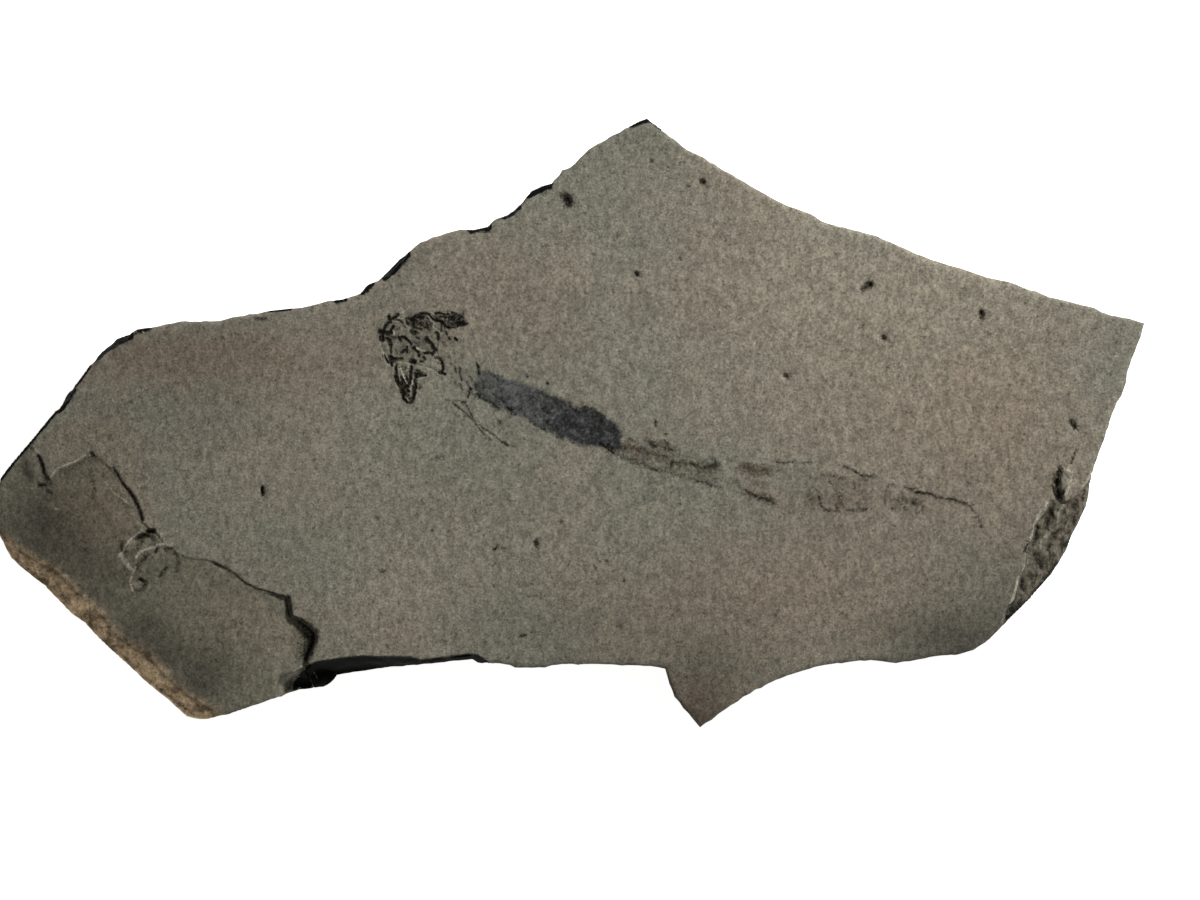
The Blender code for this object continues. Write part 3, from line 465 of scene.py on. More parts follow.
def smooth_share(value):
    """0 for values up to 0 and 1 for values from 1, smooth between them."""
    share = np.clip(value, 0, 1)
    return share * share * (3 - 2 * share)


# The whole numbers that mix a grid corner's place into random bits, and where its slopes' bits start
CELL_MIX = np.array([73856093, 19349663, 83492791])
SEED_MIX = 2654435761
BIT_MIX = 2246822519
ALL_BITS = 0xFFFFFFFF
BYTE = 255
SLOPE_BYTES = (3, 11, 19)


def corner_slopes(cells, seed):
    """A repeatable random slope, -1 to 1 along each axis, for each corner of the noise's grid."""
    mixed = (cells @ CELL_MIX + seed * SEED_MIX) & ALL_BITS
    for _ in range(2):
        mixed = ((mixed ^ (mixed >> 15)) * BIT_MIX) & ALL_BITS
    return np.column_stack([2 * (mixed >> shift & BYTE) / BYTE - 1 for shift in SLOPE_BYTES])


def gradient_noise(points, seed):
    """Smooth random numbers, about -1 to 1, on a grid of size 1."""
    cells = np.floor(points).astype(np.int64)
    inner = points - cells
    ease = inner ** 3 * (inner * (inner * 6 - 15) + 10)
    values = np.zeros(len(points))
    for corner in itertools.product((0, 1), repeat=3):
        share = np.prod(np.where(corner, ease, 1 - ease), axis=1)
        values += share * np.sum(corner_slopes(cells + corner, seed) * (inner - corner), axis=1)
    return values


def roughness(points, size, seed, octaves=1):
    """Smooth random numbers, about -1 to 1, whose bumps are as far apart as size."""
    places = np.zeros((len(points), 3))
    places[:, :points.shape[1]] = points
    values = np.zeros(len(points))
    for octave in range(octaves):
        values += 0.5 ** octave * gradient_noise(places * 2 ** octave / size + 0.37 * seed, seed + octave)
    return values


def marks(points, strokes, reach=0.0):
    """How far inside the strokes each point is: a stroke's strength on its line, 0 at its side."""
    values = np.full(len(points), NO_STROKE)
    for *pixels, width, strength in strokes:
        line = millimetres(pixels)
        half = width * MM_PER_PIXEL / 2 + reach
        low, high = line.min(axis=0) - 2 * half, line.max(axis=0) + 2 * half
        near = np.flatnonzero(np.all((points > low) & (points < high), axis=1))
        share = strength * np.maximum(1 - distance(points[near], line) / half, -1)
        values[near] = np.maximum(values[near], share)
    return values


def dents(points, strokes):
    """How deep the stone is under the strokes that have a depth."""
    depth = np.zeros(len(points))
    for *pixels, width, _, drop in strokes:
        share = marks(points, [(*pixels, DENT_WIDTH * width, 1.0)])
        depth = np.maximum(depth, drop * smooth_share(DENT_SLOPE * share))
    return depth


def blobs(points, spots, start, join):
    """A value at each point: the start value, joined with each broad spot's amount by its share there."""
    values = np.full(len(points), start)
    for across, down, reach_x, reach_y, amount in spots:
        middle = millimetres([(across, down)])[0]
        scaled = (points - middle) / (reach_x * MM_PER_PIXEL, reach_y * MM_PER_PIXEL)
        values = join(values, amount, np.exp(-np.sum(scaled * scaled, axis=1)))
    return values


# Meshes

def node_arrays(node):
    """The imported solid's points in millimetres, and its triangles, with shared corners."""
    mesh = bmesh.new()
    mesh.from_mesh(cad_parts[node].data)
    bmesh.ops.remove_doubles(mesh, verts=mesh.verts, dist=SAME_POINT)
    bmesh.ops.triangulate(mesh, faces=mesh.faces)
    mesh.verts.index_update()
    points = np.array([corner.co[:] for corner in mesh.verts]) / MM
    faces = np.array([[corner.index for corner in face.verts] for face in mesh.faces])
    mesh.free()
    return points, faces


def unit(vectors):
    return vectors / np.maximum(np.linalg.norm(vectors, axis=1), SMALLEST)[:, None]


def edge_pairs(faces):
    """The two corners of each side of each triangle: all first sides, then all second and third ones."""
    return np.concatenate([faces[:, [0, 1]], faces[:, [1, 2]], faces[:, [2, 0]]])


def face_normals(points, faces):
    """Each triangle's normal, and the same as long as twice its area."""
    a, b, c = points[faces[:, 0]], points[faces[:, 1]], points[faces[:, 2]]
    cross = np.cross(b - a, c - a)
    return unit(cross), cross


def point_normals(points, faces):
    _, cross = face_normals(points, faces)
    normals = np.zeros_like(points)
    for corner in range(3):
        np.add.at(normals, faces[:, corner], cross)
    return unit(normals)


def split_long_edges(points, faces, wanted):
    """One round of halving every edge that is longer than its triangles want."""
    pairs = np.sort(edge_pairs(faces), axis=1)
    keys = pairs[:, 0] * len(points) + pairs[:, 1]
    unique, first, edge_of = np.unique(keys, return_index=True, return_inverse=True)
    ends = pairs[first]
    lengths = np.linalg.norm(points[ends[:, 0]] - points[ends[:, 1]], axis=1)
    limit = np.full(len(unique), np.inf)
    np.minimum.at(limit, edge_of, np.tile(wanted, 3))
    long = lengths > limit
    new_index = np.full(len(unique), -1)
    new_index[long] = len(points) + np.arange(long.sum())
    middles = (points[ends[long, 0]] + points[ends[long, 1]]) / 2
    halves = new_index[edge_of].reshape(3, -1).T
    return np.vstack([points, middles]), split_faces(faces, halves)


def split_faces(faces, halves):
    """The triangles after their halved edges: halves holds the new point on each side, or -1."""
    count = (halves >= 0).sum(axis=1)
    made = [faces[count == 0]]
    whole = count == 3
    a, b, c = faces[whole].T
    ab, bc, ca = halves[whole].T
    made += [np.column_stack(f) for f in ((a, ab, ca), (ab, b, bc), (ca, bc, c), (ab, bc, ca))]
    for turn in range(3):
        f = np.roll(faces, -turn, axis=1)
        h = np.roll(halves, -turn, axis=1)
        one = (count == 1) & (h[:, 0] >= 0)
        a, b, c = f[one].T
        made += [np.column_stack((a, h[one, 0], c)), np.column_stack((h[one, 0], b, c))]
        two = (count == 2) & (h[:, 2] < 0)
        a, b, c = f[two].T
        ab, bc = h[two, 0], h[two, 1]
        made += [np.column_stack((ab, b, bc)), np.column_stack((a, ab, bc)), np.column_stack((a, bc, c))]
    return np.vstack(made)


def refined(points, faces, size_at):
    """The same surface in triangles whose edges are as short as size_at wants them at each place."""
    for _ in range(REFINING_ROUNDS):
        normals, _ = face_normals(points, faces)
        wanted = size_at(points[faces].mean(axis=1), normals)
        points, faces = split_long_edges(points, faces, wanted)
    return points, faces


def smoothed(points, faces, free, rounds):
    """Evens out the heights of the free points, and leaves the others."""
    faces = faces[free[faces].any(axis=1)]
    pairs = edge_pairs(faces)
    ends = np.concatenate([pairs[:, 0], pairs[:, 1]])
    others = np.concatenate([pairs[:, 1], pairs[:, 0]])
    count = np.maximum(np.bincount(ends, minlength=len(points)), 1)
    height = points[:, 2].copy()
    for _ in range(rounds):
        mean = np.bincount(ends, weights=height[others], minlength=len(points)) / count
        height = np.where(free, mean, height)
    return np.column_stack([points[:, :2], height])


def sharp_points(points, faces, degrees):
    """Which points lie on an edge that bends more than the angle."""
    normals, _ = face_normals(points, faces)
    pairs = np.sort(edge_pairs(faces), axis=1)
    owner = np.tile(np.arange(len(faces)), 3)
    order = np.lexsort((pairs[:, 1], pairs[:, 0]))
    pairs, owner = pairs[order], owner[order]
    first, second = owner[0::2], owner[1::2]
    bends = np.sum(normals[first] * normals[second], axis=1) < math.cos(math.radians(degrees))
    sharp = np.zeros(len(points), dtype=bool)
    sharp[pairs[0::2][bends].ravel()] = True
    return sharp


def added(name, data):
    """A new object in the scene."""
    made = bpy.data.objects.new(name, data)
    bpy.context.scene.collection.objects.link(made)
    return made


def make_object(name, points, faces, values, material):
    """A smooth-shaded object in metres, with the named values kept at its points."""
    data = bpy.data.meshes.new(name)
    data.vertices.add(len(points))
    data.vertices.foreach_set("co", (points * MM).astype(np.float32).ravel())
    data.loops.add(faces.size)
    data.loops.foreach_set("vertex_index", faces.astype(np.int32).ravel())
    data.polygons.add(len(faces))
    data.polygons.foreach_set("loop_start", np.arange(0, faces.size, 3, dtype=np.int32))
    data.update(calc_edges=True)
    data.validate()
    data.shade_smooth()
    for key, amounts in values.items():
        attribute = data.attributes.new(key, "FLOAT", "POINT")
        attribute.data.foreach_set("value", amounts.astype(np.float32))
    data.materials.append(material)
    made = added(name, data)
    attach(made, "root")
    return made


# The values that the material reads

# Up to where distances into a region are kept, in millimetres, and those into the wide tan band
VALUE_REACH = 5.0
TAN_REACH = 14.0
# The strokes of the head are stronger and those of the tail fainter, and all a little wider, in millimetres
HEAD_STRENGTH = 1.5
TAIL_STRENGTH = 0.82
HEAD_REACH = 0.1
BODY_REACH = 0.12
RIM_REACH = 0.4


def fossil_values(flat):
    """The values that the stone's material reads, at each point seen from above."""
    tail = [(*line, width, TAIL_STRENGTH * strength) for *line, width, strength in TAIL_MARKS]
    head = HEAD_STRENGTH * marks(flat, SNOUT_MARKS + SKULL_MARKS + JAW_MARKS + LEFT_JAW_MARKS, HEAD_REACH)
    # The hollows' strokes are the stone's dark spots and cracks, and painted shadow in hollows and below
    # steps
    body = marks(flat, NECK_MARKS + tail + TRUNK_MARKS + HOLLOWS, BODY_REACH)
    return {
        # Dark bone, and painted shadow in hollows and below steps
        "ink_and_shadow": np.maximum(head, body),
        # Bruised stone, and painted highlights
        "bruise_and_highlight": marks(flat, BRUISES_AND_HIGHLIGHTS),
        "film": signed_distance(flat, TRUNK, VALUE_REACH),
        "brown": marks(flat, BROWN_STAINS),
        "pink": marks(flat, PINK_STAINS),
        # Broad painted light and shade, with the stone's own lighter and darker parts
        "painted_light_and_tone": blobs(flat, PAINTED_LIGHT_AND_TONE, 1.0, lambda value, amount, share: value * (1 + (amount - 1) * share)),
        "blush": blobs(flat, BLUSHES, 0.0, lambda value, amount, share: value + amount * share),
        "scar": signed_distance(flat, SCAR, VALUE_REACH),
        "tan": signed_distance(flat, BEVEL, TAN_REACH),
        "fracture": signed_distance(flat, FRACTURE, VALUE_REACH),
        # Painted shadow on the steep break and on the chips' faces
        "shadowed_break": np.maximum(signed_distance(flat, BREAK, VALUE_REACH), marks(flat, RIM_SHADOWS, RIM_REACH)),
    }


# What the values are below the top: those that end at its edge, then those that only the underside lacks
BELOW_TOP = {
    "ink_and_shadow": NO_STROKE, "bruise_and_highlight": NO_STROKE, "film": -VALUE_REACH, "brown": NO_STROKE, "pink": NO_STROKE,
    "painted_light_and_tone": 0.9, "blush": 0.2,
}
BELOW_SIDES = {"scar": -VALUE_REACH, "tan": -TAN_REACH, "fracture": -VALUE_REACH, "shadowed_break": -VALUE_REACH}

# The steep break's painted shadow fades out down the side, from CUT_FADE above CUT_LOWEST, with a swaying
# edge
CUT_LOWEST = 2.4
CUT_FADE = 4.0
CUT_SWAY = (1.6, 5.0, 12, 2)


def stone_values(points, up, side, under):
    """The fossil's values on the top, with blank ones on the sides and the underside."""
    flat = points[:, :2]
    values = fossil_values(flat)
    values["side"] = side
    for name, blank in BELOW_TOP.items():
        values[name] = blank + (values[name] - blank) * up
    for name, blank in BELOW_SIDES.items():
        values[name] = np.where(under, blank, values[name])
    height = points[:, 2] + bumps(flat, CUT_SWAY)
    lost = side * (1 - smooth_share((height - CUT_LOWEST) / CUT_FADE))
    values["shadowed_break"] += (BELOW_SIDES["shadowed_break"] - values["shadowed_break"]) * lost
    return values


# The stone's surface

# How far up triangles face, by their normals: those of the top, those above the sides, and the underside's
ON_TOP = 0.5
ABOVE_SIDES = 0.1
ON_UNDERSIDE = -0.9
# How near a broken part's edge its crest is, and how far round the film and the strokes triangles are small
CREST_REACH = 1.2
FILM_REACH = 2.5
LINE_REACH = 0.35


def slab_edge_length(places, normals):
    """The longest edge that triangles at these places may keep."""
    flat = places[:, :2]
    size = np.where(normals[:, 2] > ON_TOP, PLAIN_EDGE, SIDE_EDGE)
    size = np.where(normals[:, 2] < ON_UNDERSIDE, UNDER_EDGE, size)
    top = normals[:, 2] > ABOVE_SIDES
    broken = np.maximum.reduce([signed_distance(flat, part) for part in (SCAR, FRACTURE, BREAK)])
    size = np.where(top & (broken > 0), BROKEN_EDGE, size)
    size = np.where(top & (signed_distance(flat, FRACTURE) > 0), FRACTURE_EDGE, size)
    size = np.where(top & (np.abs(broken) < CREST_REACH), CREST_EDGE, size)
    size = np.where(top & (signed_distance(flat, TRUNK) > -FILM_REACH), FOSSIL_EDGE, size)
    lines = marks(flat, TAIL_MARKS + RIM_SHADOWS + BRUISES_AND_HIGHLIGHTS + HOLLOWS, LINE_REACH)
    size = np.where(top & (lines > 0), LINE_EDGE, size)
    head = marks(flat, HEAD_REGION) > 0
    return np.where(top & head & (under_bone(flat) < 2 * TUCK_REACH), HEAD_EDGE, size)


def under_bone(flat):
    """How far inside a bone's edge each place is, or 0 outside them all."""
    depth = np.zeros(len(flat))
    for loop in BONE_LOOPS.values():
        near = np.flatnonzero(inside(flat, loop))
        depth[near] = distance(flat[near], np.vstack([loop, loop[:1]]))
    return depth


def tucked_share(flat):
    """1 where the stone goes down out of sight under a bone, and 0 outside the bones."""
    return smooth_share(under_bone(flat) / TUCK_REACH)


def over_bed(flat):
    """Which places are over a bone's bed, which the stone's surface closes here."""
    share = np.zeros(len(flat), dtype=bool)
    for loop in BONE_LOOPS.values():
        share |= inside(flat, loop) | (distance(flat, np.vstack([loop, loop[:1]])) < BED_REACH)
    return share


def bone_loop(node):
    """The outline of a bone, from its flat underside."""
    points, faces = node_arrays(node)
    base = points[:, 2] < points[:, 2].min() + UNDERSIDE_HEIGHT
    ends = [tuple(sorted(pair)) for face in faces[base[faces].all(axis=1)]
            for pair in ((face[0], face[1]), (face[1], face[2]), (face[2], face[0]))]
    rim = [pair for pair in set(ends) if ends.count(pair) == 1]
    following = {}
    for a, b in rim:
        following.setdefault(a, []).append(b)
        following.setdefault(b, []).append(a)
    ring = [rim[0][0], rim[0][1]]
    while len(ring) < len(rim):
        a, b = following[ring[-1]]
        ring.append(b if a == ring[-2] else a)
    return points[ring][:, :2]


# Bumps: how high they are and how far apart, in millimetres, then their seed and octaves
FACE_BUMPS = (0.03, 2.4, 1, 3)
SCAR_BUMPS = (0.07, 2.0, 9, 3)
FRACTURE_BUMPS = (0.4, 1.3, 2, 2)
BREAK_BUMPS = (0.25, 1.6, 44, 3)
UNDER_BUMPS = (0.25, 6.0, 2, 3)
BONE_BUMPS = (0.05, 0.8, 6, 2)
BED_SWAY = (0.5, 30, 7)
THIN_BEDS = (0.2, 0.8, 4)
THICK_BEDS = (0.35, 2.0, 14)
SIDE_BUMPS = (0.3, 3.0, 3, 3)
SCAR_TERRACES = (1.0, 9.0, 14, 2)
FRACTURE_RIDGES = (1.0, 3.2, 31, 3)

# Where terraces start in their noise, how soon they are whole and how high; where ridges have their middle
TERRACE_START = 0.05
TERRACE_RAMP = 0.08
TERRACE_HEIGHT = 0.12
RIDGE_MIDDLE = 0.78
# How far inside a region its relief is whole, in millimetres
SCAR_RAMP = 0.6
FRACTURE_RAMP = 0.8
BREAK_RAMP = 0.6
# How far bruises and painted highlights stand out, and how far in the sides and the bones start, in
# millimetres
BRUISE_HEIGHT = 0.08
SIDE_INSET = 0.15
BONE_INSET = 0.1
# A bone's ridges: how high, and how fast they rise with the stroke's strength
BONE_RIDGE = 0.2
RIDGE_SLOPE = 1.4


def bumps(points, kind):
    """The height of one kind of bumps at each point."""
    height, *noise = kind
    return height * roughness(points, *noise)


def top_relief(flat):
    """Fine relief of the bedding face, rougher where the stone is broken."""
    scar = smooth_share(signed_distance(flat, SCAR) / SCAR_RAMP)
    fracture = smooth_share(signed_distance(flat, FRACTURE) / FRACTURE_RAMP)
    shadowed_break = smooth_share(signed_distance(flat, BREAK) / BREAK_RAMP)
    terraces = smooth_share((bumps(flat, SCAR_TERRACES) - TERRACE_START) / TERRACE_RAMP)
    ridges = 1 - np.abs(bumps(flat, FRACTURE_RIDGES)) - RIDGE_MIDDLE
    relief = bumps(flat, FACE_BUMPS)
    relief += scar * (bumps(flat, SCAR_BUMPS) + TERRACE_HEIGHT * terraces)
    relief += fracture * (ridges + bumps(flat, FRACTURE_BUMPS))
    relief += shadowed_break * bumps(flat, BREAK_BUMPS)
    relief += BRUISE_HEIGHT * smooth_share(marks(flat, BRUISES_AND_HIGHLIGHTS))
    return relief - dents(flat, SPOTS + CRACKS_AND_SHADOWS)


def layered(points):
    """How far the broken sides stand out or in: thin beds of the shale, and their roughness."""
    height = points[:, 2:] + bumps(points[:, :2], BED_SWAY)[:, None]
    beds = bumps(height, THIN_BEDS) + bumps(height, THICK_BEDS)
    return beds + bumps(points, SIDE_BUMPS) - SIDE_INSET


# How far up normals point where the sides begin to turn into the top, and where the top is smoothed
STONE_TOP_START = 0.35
BONE_TOP_START = 0.4
TOP_FADE = 0.3
SMOOTHED_STONE = 0.75
SMOOTHED_BONE = 0.6
# How near the floor the underside is, in millimetres, and how it fades in as its normals turn down
UNDERSIDE_HEIGHT = 0.01
UNDER_SLOPE = 4
UNDER_START = 3


def closed_stone():
    """The slab in fine triangles, with the bones' beds closed and its bedding face evened out."""
    points, faces = node_arrays("slab")
    points, faces = refined(points, faces, slab_edge_length)
    flat = points[:, :2]
    bed = over_bed(flat) & (points[:, 2] > TOP - BED_DEPTH)
    sharp = sharp_points(points, faces, STONE_SHARP)
    top = point_normals(points, faces)[:, 2] > SMOOTHED_STONE
    points[bed, 2] = TOP
    points = smoothed(points, faces, bed, BED_ROUNDS)
    fracture = signed_distance(flat, FRACTURE) > 0
    points = smoothed(points, faces, bed | (top & ~sharp & ~fracture), FACE_ROUNDS)
    points[:, 2] -= TUCK * tucked_share(flat) * top
    return points, faces


def make_stone(material):
    """The visible slab, with fine relief on its top, thin beds on its sides and a plain underside."""
    points, faces = closed_stone()
    flat = points[:, :2]
    normals = point_normals(points, faces)
    up = smooth_share((normals[:, 2] - STONE_TOP_START) / TOP_FADE)
    under = points[:, 2] < UNDERSIDE_HEIGHT
    side = (1 - up) * ~under
    down = smooth_share(-normals[:, 2] * UNDER_SLOPE - UNDER_START)
    hollows = np.abs(bumps(flat, UNDER_BUMPS)) * down
    moved = points + normals * (side * layered(points))[:, None]
    moved[:, 2] += up * top_relief(flat) + np.where(under, hollows, 0.0)
    moved[:, 2] = np.maximum(moved[:, 2], 0.0)
    return make_object("stone", moved, faces, stone_values(points, up, side, under), material)


def make_bone_piece(node, material):
    """One bone with its strokes as low ridges, on the solid's own shape."""
    points, faces = node_arrays(node)
    points, faces = refined(points, faces, lambda places, normals: np.full(len(places), BONE_EDGE))
    flat = points[:, :2]
    normals = point_normals(points, faces)
    sharp = sharp_points(points, faces, BONE_SHARP)
    points = smoothed(points, faces, (normals[:, 2] > SMOOTHED_BONE) & ~sharp, BONE_ROUNDS)
    up = smooth_share((normals[:, 2] - BONE_TOP_START) / TOP_FADE)
    values = fossil_values(flat)
    ridges = BONE_RIDGE * smooth_share(RIDGE_SLOPE * values["ink_and_shadow"])
    points[:, 2] += up * (ridges + bumps(flat, BONE_BUMPS) - BONE_INSET)
    return make_object(node + "_bone", points, faces, values, material)


# Materials

class Graph:
    """A material's nodes, with short ways to add the common ones."""

    def __init__(self, name):
        self.material = bpy.data.materials.new(name)
        self.material.use_nodes = True
        self.tree = self.material.node_tree
        self.shader = self.tree.nodes["Principled BSDF"]
        self.place = self.tree.nodes.new("ShaderNodeTexCoord").outputs["Object"]

    def join(self, source, socket):
        if isinstance(source, bpy.types.NodeSocket):
            self.tree.links.new(source, socket)
        elif isinstance(source, tuple):
            socket.default_value = (*source, 1.0)[:len(socket.default_value)]
        else:
            socket.default_value = source

    def math(self, kind, *values, clamp=False):
        node = self.tree.nodes.new("ShaderNodeMath")
        node.operation = kind
        node.use_clamp = clamp
        for value, socket in zip(values, node.inputs):
            self.join(value, socket)
        return node.outputs[0]

    def mix(self, factor, first, second, kind="MIX"):
        node = self.tree.nodes.new("ShaderNodeMix")
        node.data_type = "RGBA"
        node.blend_type = kind
        self.join(factor, node.inputs[0])
        self.join(first, node.inputs[6])
        self.join(second, node.inputs[7])
        return node.outputs[2]

    def value(self, name):
        node = self.tree.nodes.new("ShaderNodeAttribute")
        node.attribute_name = name
        return node.outputs["Fac"]

    def noise(self, size, detail, rough, seed, stretch=(1, 1, 1)):
        """Noise whose grains are about size millimetres apart, around 0.5."""
        move = self.tree.nodes.new("ShaderNodeMapping")
        move.inputs["Location"].default_value = (seed, seed * 0.7, seed * 0.3)
        move.inputs["Scale"].default_value = stretch
        self.join(self.place, move.inputs["Vector"])
        node = self.tree.nodes.new("ShaderNodeTexNoise")
        node.inputs["Scale"].default_value = 1 / (size * MM)
        node.inputs["Detail"].default_value = detail
        node.inputs["Roughness"].default_value = rough
        self.join(move.outputs[0], node.inputs["Vector"])
        return node.outputs["Fac"]

    def step(self, value, low, high, to_low=0.0, to_high=1.0):
        """One number up to low and the other from high on, smooth between them."""
        node = self.tree.nodes.new("ShaderNodeMapRange")
        node.interpolation_type = "SMOOTHSTEP"
        self.join(value, node.inputs["Value"])
        sockets = ("From Min", "From Max", "To Min", "To Max")
        for socket, number in zip(sockets, (low, high, to_low, to_high)):
            node.inputs[socket].default_value = number
        return node.outputs[0]

    def layer(self, name):
        """A layer of noise as numbers, from LAYERS."""
        noise, steps = LAYERS[name]
        return self.step(self.noise(*noise), *steps)

    def mask(self, name):
        """A mask from a kept value, with its edge worn by noise, from MASKS."""
        noise, amount, low, high = MASKS[name]
        worn = self.math("SUBTRACT", self.noise(*noise), 0.5)
        return self.step(self.math("MULTIPLY_ADD", worn, amount, self.value(name)), low, high)

    def grey(self, value):
        """A grey colour from a number."""
        node = self.tree.nodes.new("ShaderNodeCombineColor")
        for socket in node.inputs:
            self.join(value, socket)
        return node.outputs[0]

    def times(self, first, second, clamp=False):
        return self.math("MULTIPLY", first, second, clamp=clamp)

    def darkened(self, colour, by):
        """The colour multiplied by a number."""
        return self.mix(1.0, colour, self.grey(by), "MULTIPLY")


def srgb(red, green, blue):
    """A linear colour from the screen's 0 to 255 values."""
    found = []
    for part in (red, green, blue):
        share = part / 255
        found.append(share / 12.92 if share <= 0.04045 else ((share + 0.055) / 1.055) ** 2.4)
    return tuple(found)


GREY_STONE = srgb(129, 123, 109)
PINK_STONE = srgb(130, 118, 103)
GREEN_STONE = srgb(123, 121, 108)
SCAR_STONE = srgb(110, 107, 93)
SCAR_PINK = srgb(114, 105, 90)
TAN_STONE = srgb(124, 106, 82)
TAN_LIGHT = srgb(216, 188, 150)
# Painted shade in the fracture's crevices
CREVICE_SHADE_STONE = srgb(40, 37, 29)
# Painted shadow on the steep breaks and the chips' faces
PAINTED_SHADOW_STONE = srgb(13, 12, 9)
FRACTURE_STONE = srgb(104, 98, 84)
# Bruised stone, and painted highlights
BRUISE_AND_HIGHLIGHT_STONE = srgb(168, 162, 146)
FILM_GREY = srgb(86, 88, 85)
FILM_DARK = srgb(36, 37, 41)
BROWN = srgb(70, 63, 51)
PINK = srgb(112, 94, 88)
# Dark bone, and painted shadow in hollows and below steps
INK_AND_SHADOW = srgb(9, 9, 5)

# Layers of noise: the grains' size in millimetres, detail, roughness, seed and stretch, then the low and
# high noise that turn into 0 and 1, or into the two numbers after them
LAYERS = {
    "green tint": ((38, 2, 0.5, 1.0), (0.35, 0.65)),
    "pink tint": ((11, 3, 0.55, 2.3), (0.38, 0.64)),
    "tan patches": ((4.0, 4, 0.6, 7.7), (0.36, 0.6)),
    "crevice shade": ((2.0, 4, 0.65, 3.3, (1.0, 0.5, 1.0)), (0.5, 0.62, 0.0, 0.75)),
    "brown wear": ((1.1, 4, 0.75, 5.5), (0.34, 0.66, 0.3, 2.7)),
    "ink wear": ((1.2, 3, 0.7, 7.1), (0.34, 0.5, 0.82, 1.0)),
    "film speckle": ((0.8, 4, 0.75, 1.7), (0.36, 0.64)),
    "film clouds": ((3.0, 3, 0.6, 4.1), (0.34, 0.66)),
    "fine grain": ((0.6, 3, 0.75, 0.4), (0.25, 0.75, 0.6, 1.42)),
    "medium grain": ((1.5, 3, 0.7, 0.9, (1.0, 0.62, 1.0)), (0.3, 0.72, 0.74, 1.26)),
    "dark specks": ((1.1, 1, 0.5, 6.6), (0.28, 0.37, 0.64, 1.0)),
    "light specks": ((0.8, 1, 0.5, 9.9), (0.68, 0.78, 1.0, 1.4)),
    "thin beds": ((0.9, 3, 0.7, 4.7, (0.07, 0.07, 1.0)), (0.36, 0.64, 0.72, 1.16)),
    "thick beds": ((3.6, 2, 0.5, 7.3, (0.05, 0.05, 1.0)), (0.4, 0.6, 0.84, 1.08)),
}

# Masks from the kept values: the noise that wears them, how strongly, and where a mask starts and is whole
MASKS = {
    "scar": ((1.4, 3, 0.65, 3.1), 0.8, -0.1, 0.5),
    "fracture": ((1.0, 3, 0.65, 4.4), 1.0, -0.1, 0.6),
    "tan": ((3.2, 3, 0.65, 6.2), 3.4, -2.4, 1.8),
    "shadowed_break": ((0.9, 3, 0.65, 9.1), 0.6, -0.25, 0.2),
    "film": ((0.9, 3, 0.65, 2.9), 1.9, -0.5, 0.9),
    "ink_and_shadow": ((0.55, 4, 0.75, 8.8), 2.4, -0.25, 0.95),
    "bruise_and_highlight": ((0.7, 3, 0.7, 3.9), 1.4, 0.0, 0.7),
}

# How much of each tint shows
PATCH_BLUSH = 0.14
FRACTURE_SHARE = 0.8
PINK_SHARE = 0.8
BRUISE_AND_HIGHLIGHT_SHARE = 0.7

# The film: how dark its rear, its clouds and its speckle make it, where along the body it turns dark, and
# where its front end begins to cover the stone, how soon, and how much before and after
REAR_DARKNESS = 0.62
CLOUD_DARKNESS = 0.5
SPECKLE_DARKNESS = 0.95
FILM_TURNS_DARK = (0.3, 0.72)
FILM_COVERS = (-0.05, 0.25, 0.76, 0.95)
FILM_FRONT = (476, 380)
FILM_REAR = (622, 440)

STONE_ROUGHNESS = 0.88
STONE_SHINE = 0.12
# Bumps too fine for the mesh: two sizes of noise, the share of the second, and their height in millimetres
FINE_BUMPS = (0.5, 4, 0.65, 2.2)
COARSE_BUMPS = (1.8, 3, 0.6, 5.1)
COARSE_SHARE = 1.2
BUMP_STRENGTH = 0.55
BUMP_HEIGHT = 0.12


def stone_material():
    """Shale with the fossil's marks and painted light and shade, as worn as the masks say, and its grain.
    """
    g = Graph("shale_surface")
    colour = plain_stone(g)
    colour = broken_stone(g, colour)
    # Broad painted light and shade, with the stone's own lighter and darker parts
    colour = g.darkened(colour, g.value("painted_light_and_tone"))
    colour = stained(g, colour)
    colour = film_over(g, colour)
    colour = strokes_over(g, colour)
    beds = g.times(g.layer("thin beds"), g.layer("thick beds"))
    colour = g.mix(g.value("side"), colour, g.darkened(colour, beds))
    grain = g.times(g.layer("fine grain"), g.layer("medium grain"))
    specks = g.times(g.layer("dark specks"), g.layer("light specks"))
    g.join(g.darkened(colour, g.times(grain, specks)), g.shader.inputs["Base Color"])
    g.shader.inputs["Roughness"].default_value = STONE_ROUGHNESS
    g.shader.inputs["Specular IOR Level"].default_value = STONE_SHINE
    add_grain_bump(g)
    return g.material


def plain_stone(g):
    """Grey shale with broad green and pink parts, and its flaked scar."""
    colour = g.mix(g.layer("green tint"), GREY_STONE, GREEN_STONE)
    patches = g.times(g.math("SUBTRACT", g.layer("pink tint"), 0.5), PATCH_BLUSH)
    blush = g.math("ADD", g.value("blush"), patches, clamp=True)
    colour = g.mix(blush, colour, PINK_STONE)
    return g.mix(g.mask("scar"), colour, g.mix(blush, SCAR_STONE, SCAR_PINK))


def broken_stone(g, colour):
    """The rough fracture with painted shade in its crevices, the tan weathered band, and painted shadow on
    the steep breaks.
    """
    fracture = g.mask("fracture")
    colour = g.mix(g.times(fracture, FRACTURE_SHARE), colour, FRACTURE_STONE)
    # Painted shade in the fracture's crevices
    colour = g.mix(g.times(fracture, g.layer("crevice shade")), colour, CREVICE_SHADE_STONE)
    colour = g.mix(g.mask("tan"), colour, g.mix(g.layer("tan patches"), TAN_STONE, TAN_LIGHT))
    # Painted shadow on the steep breaks and the chips' faces
    return g.mix(g.mask("shadowed_break"), colour, PAINTED_SHADOW_STONE)


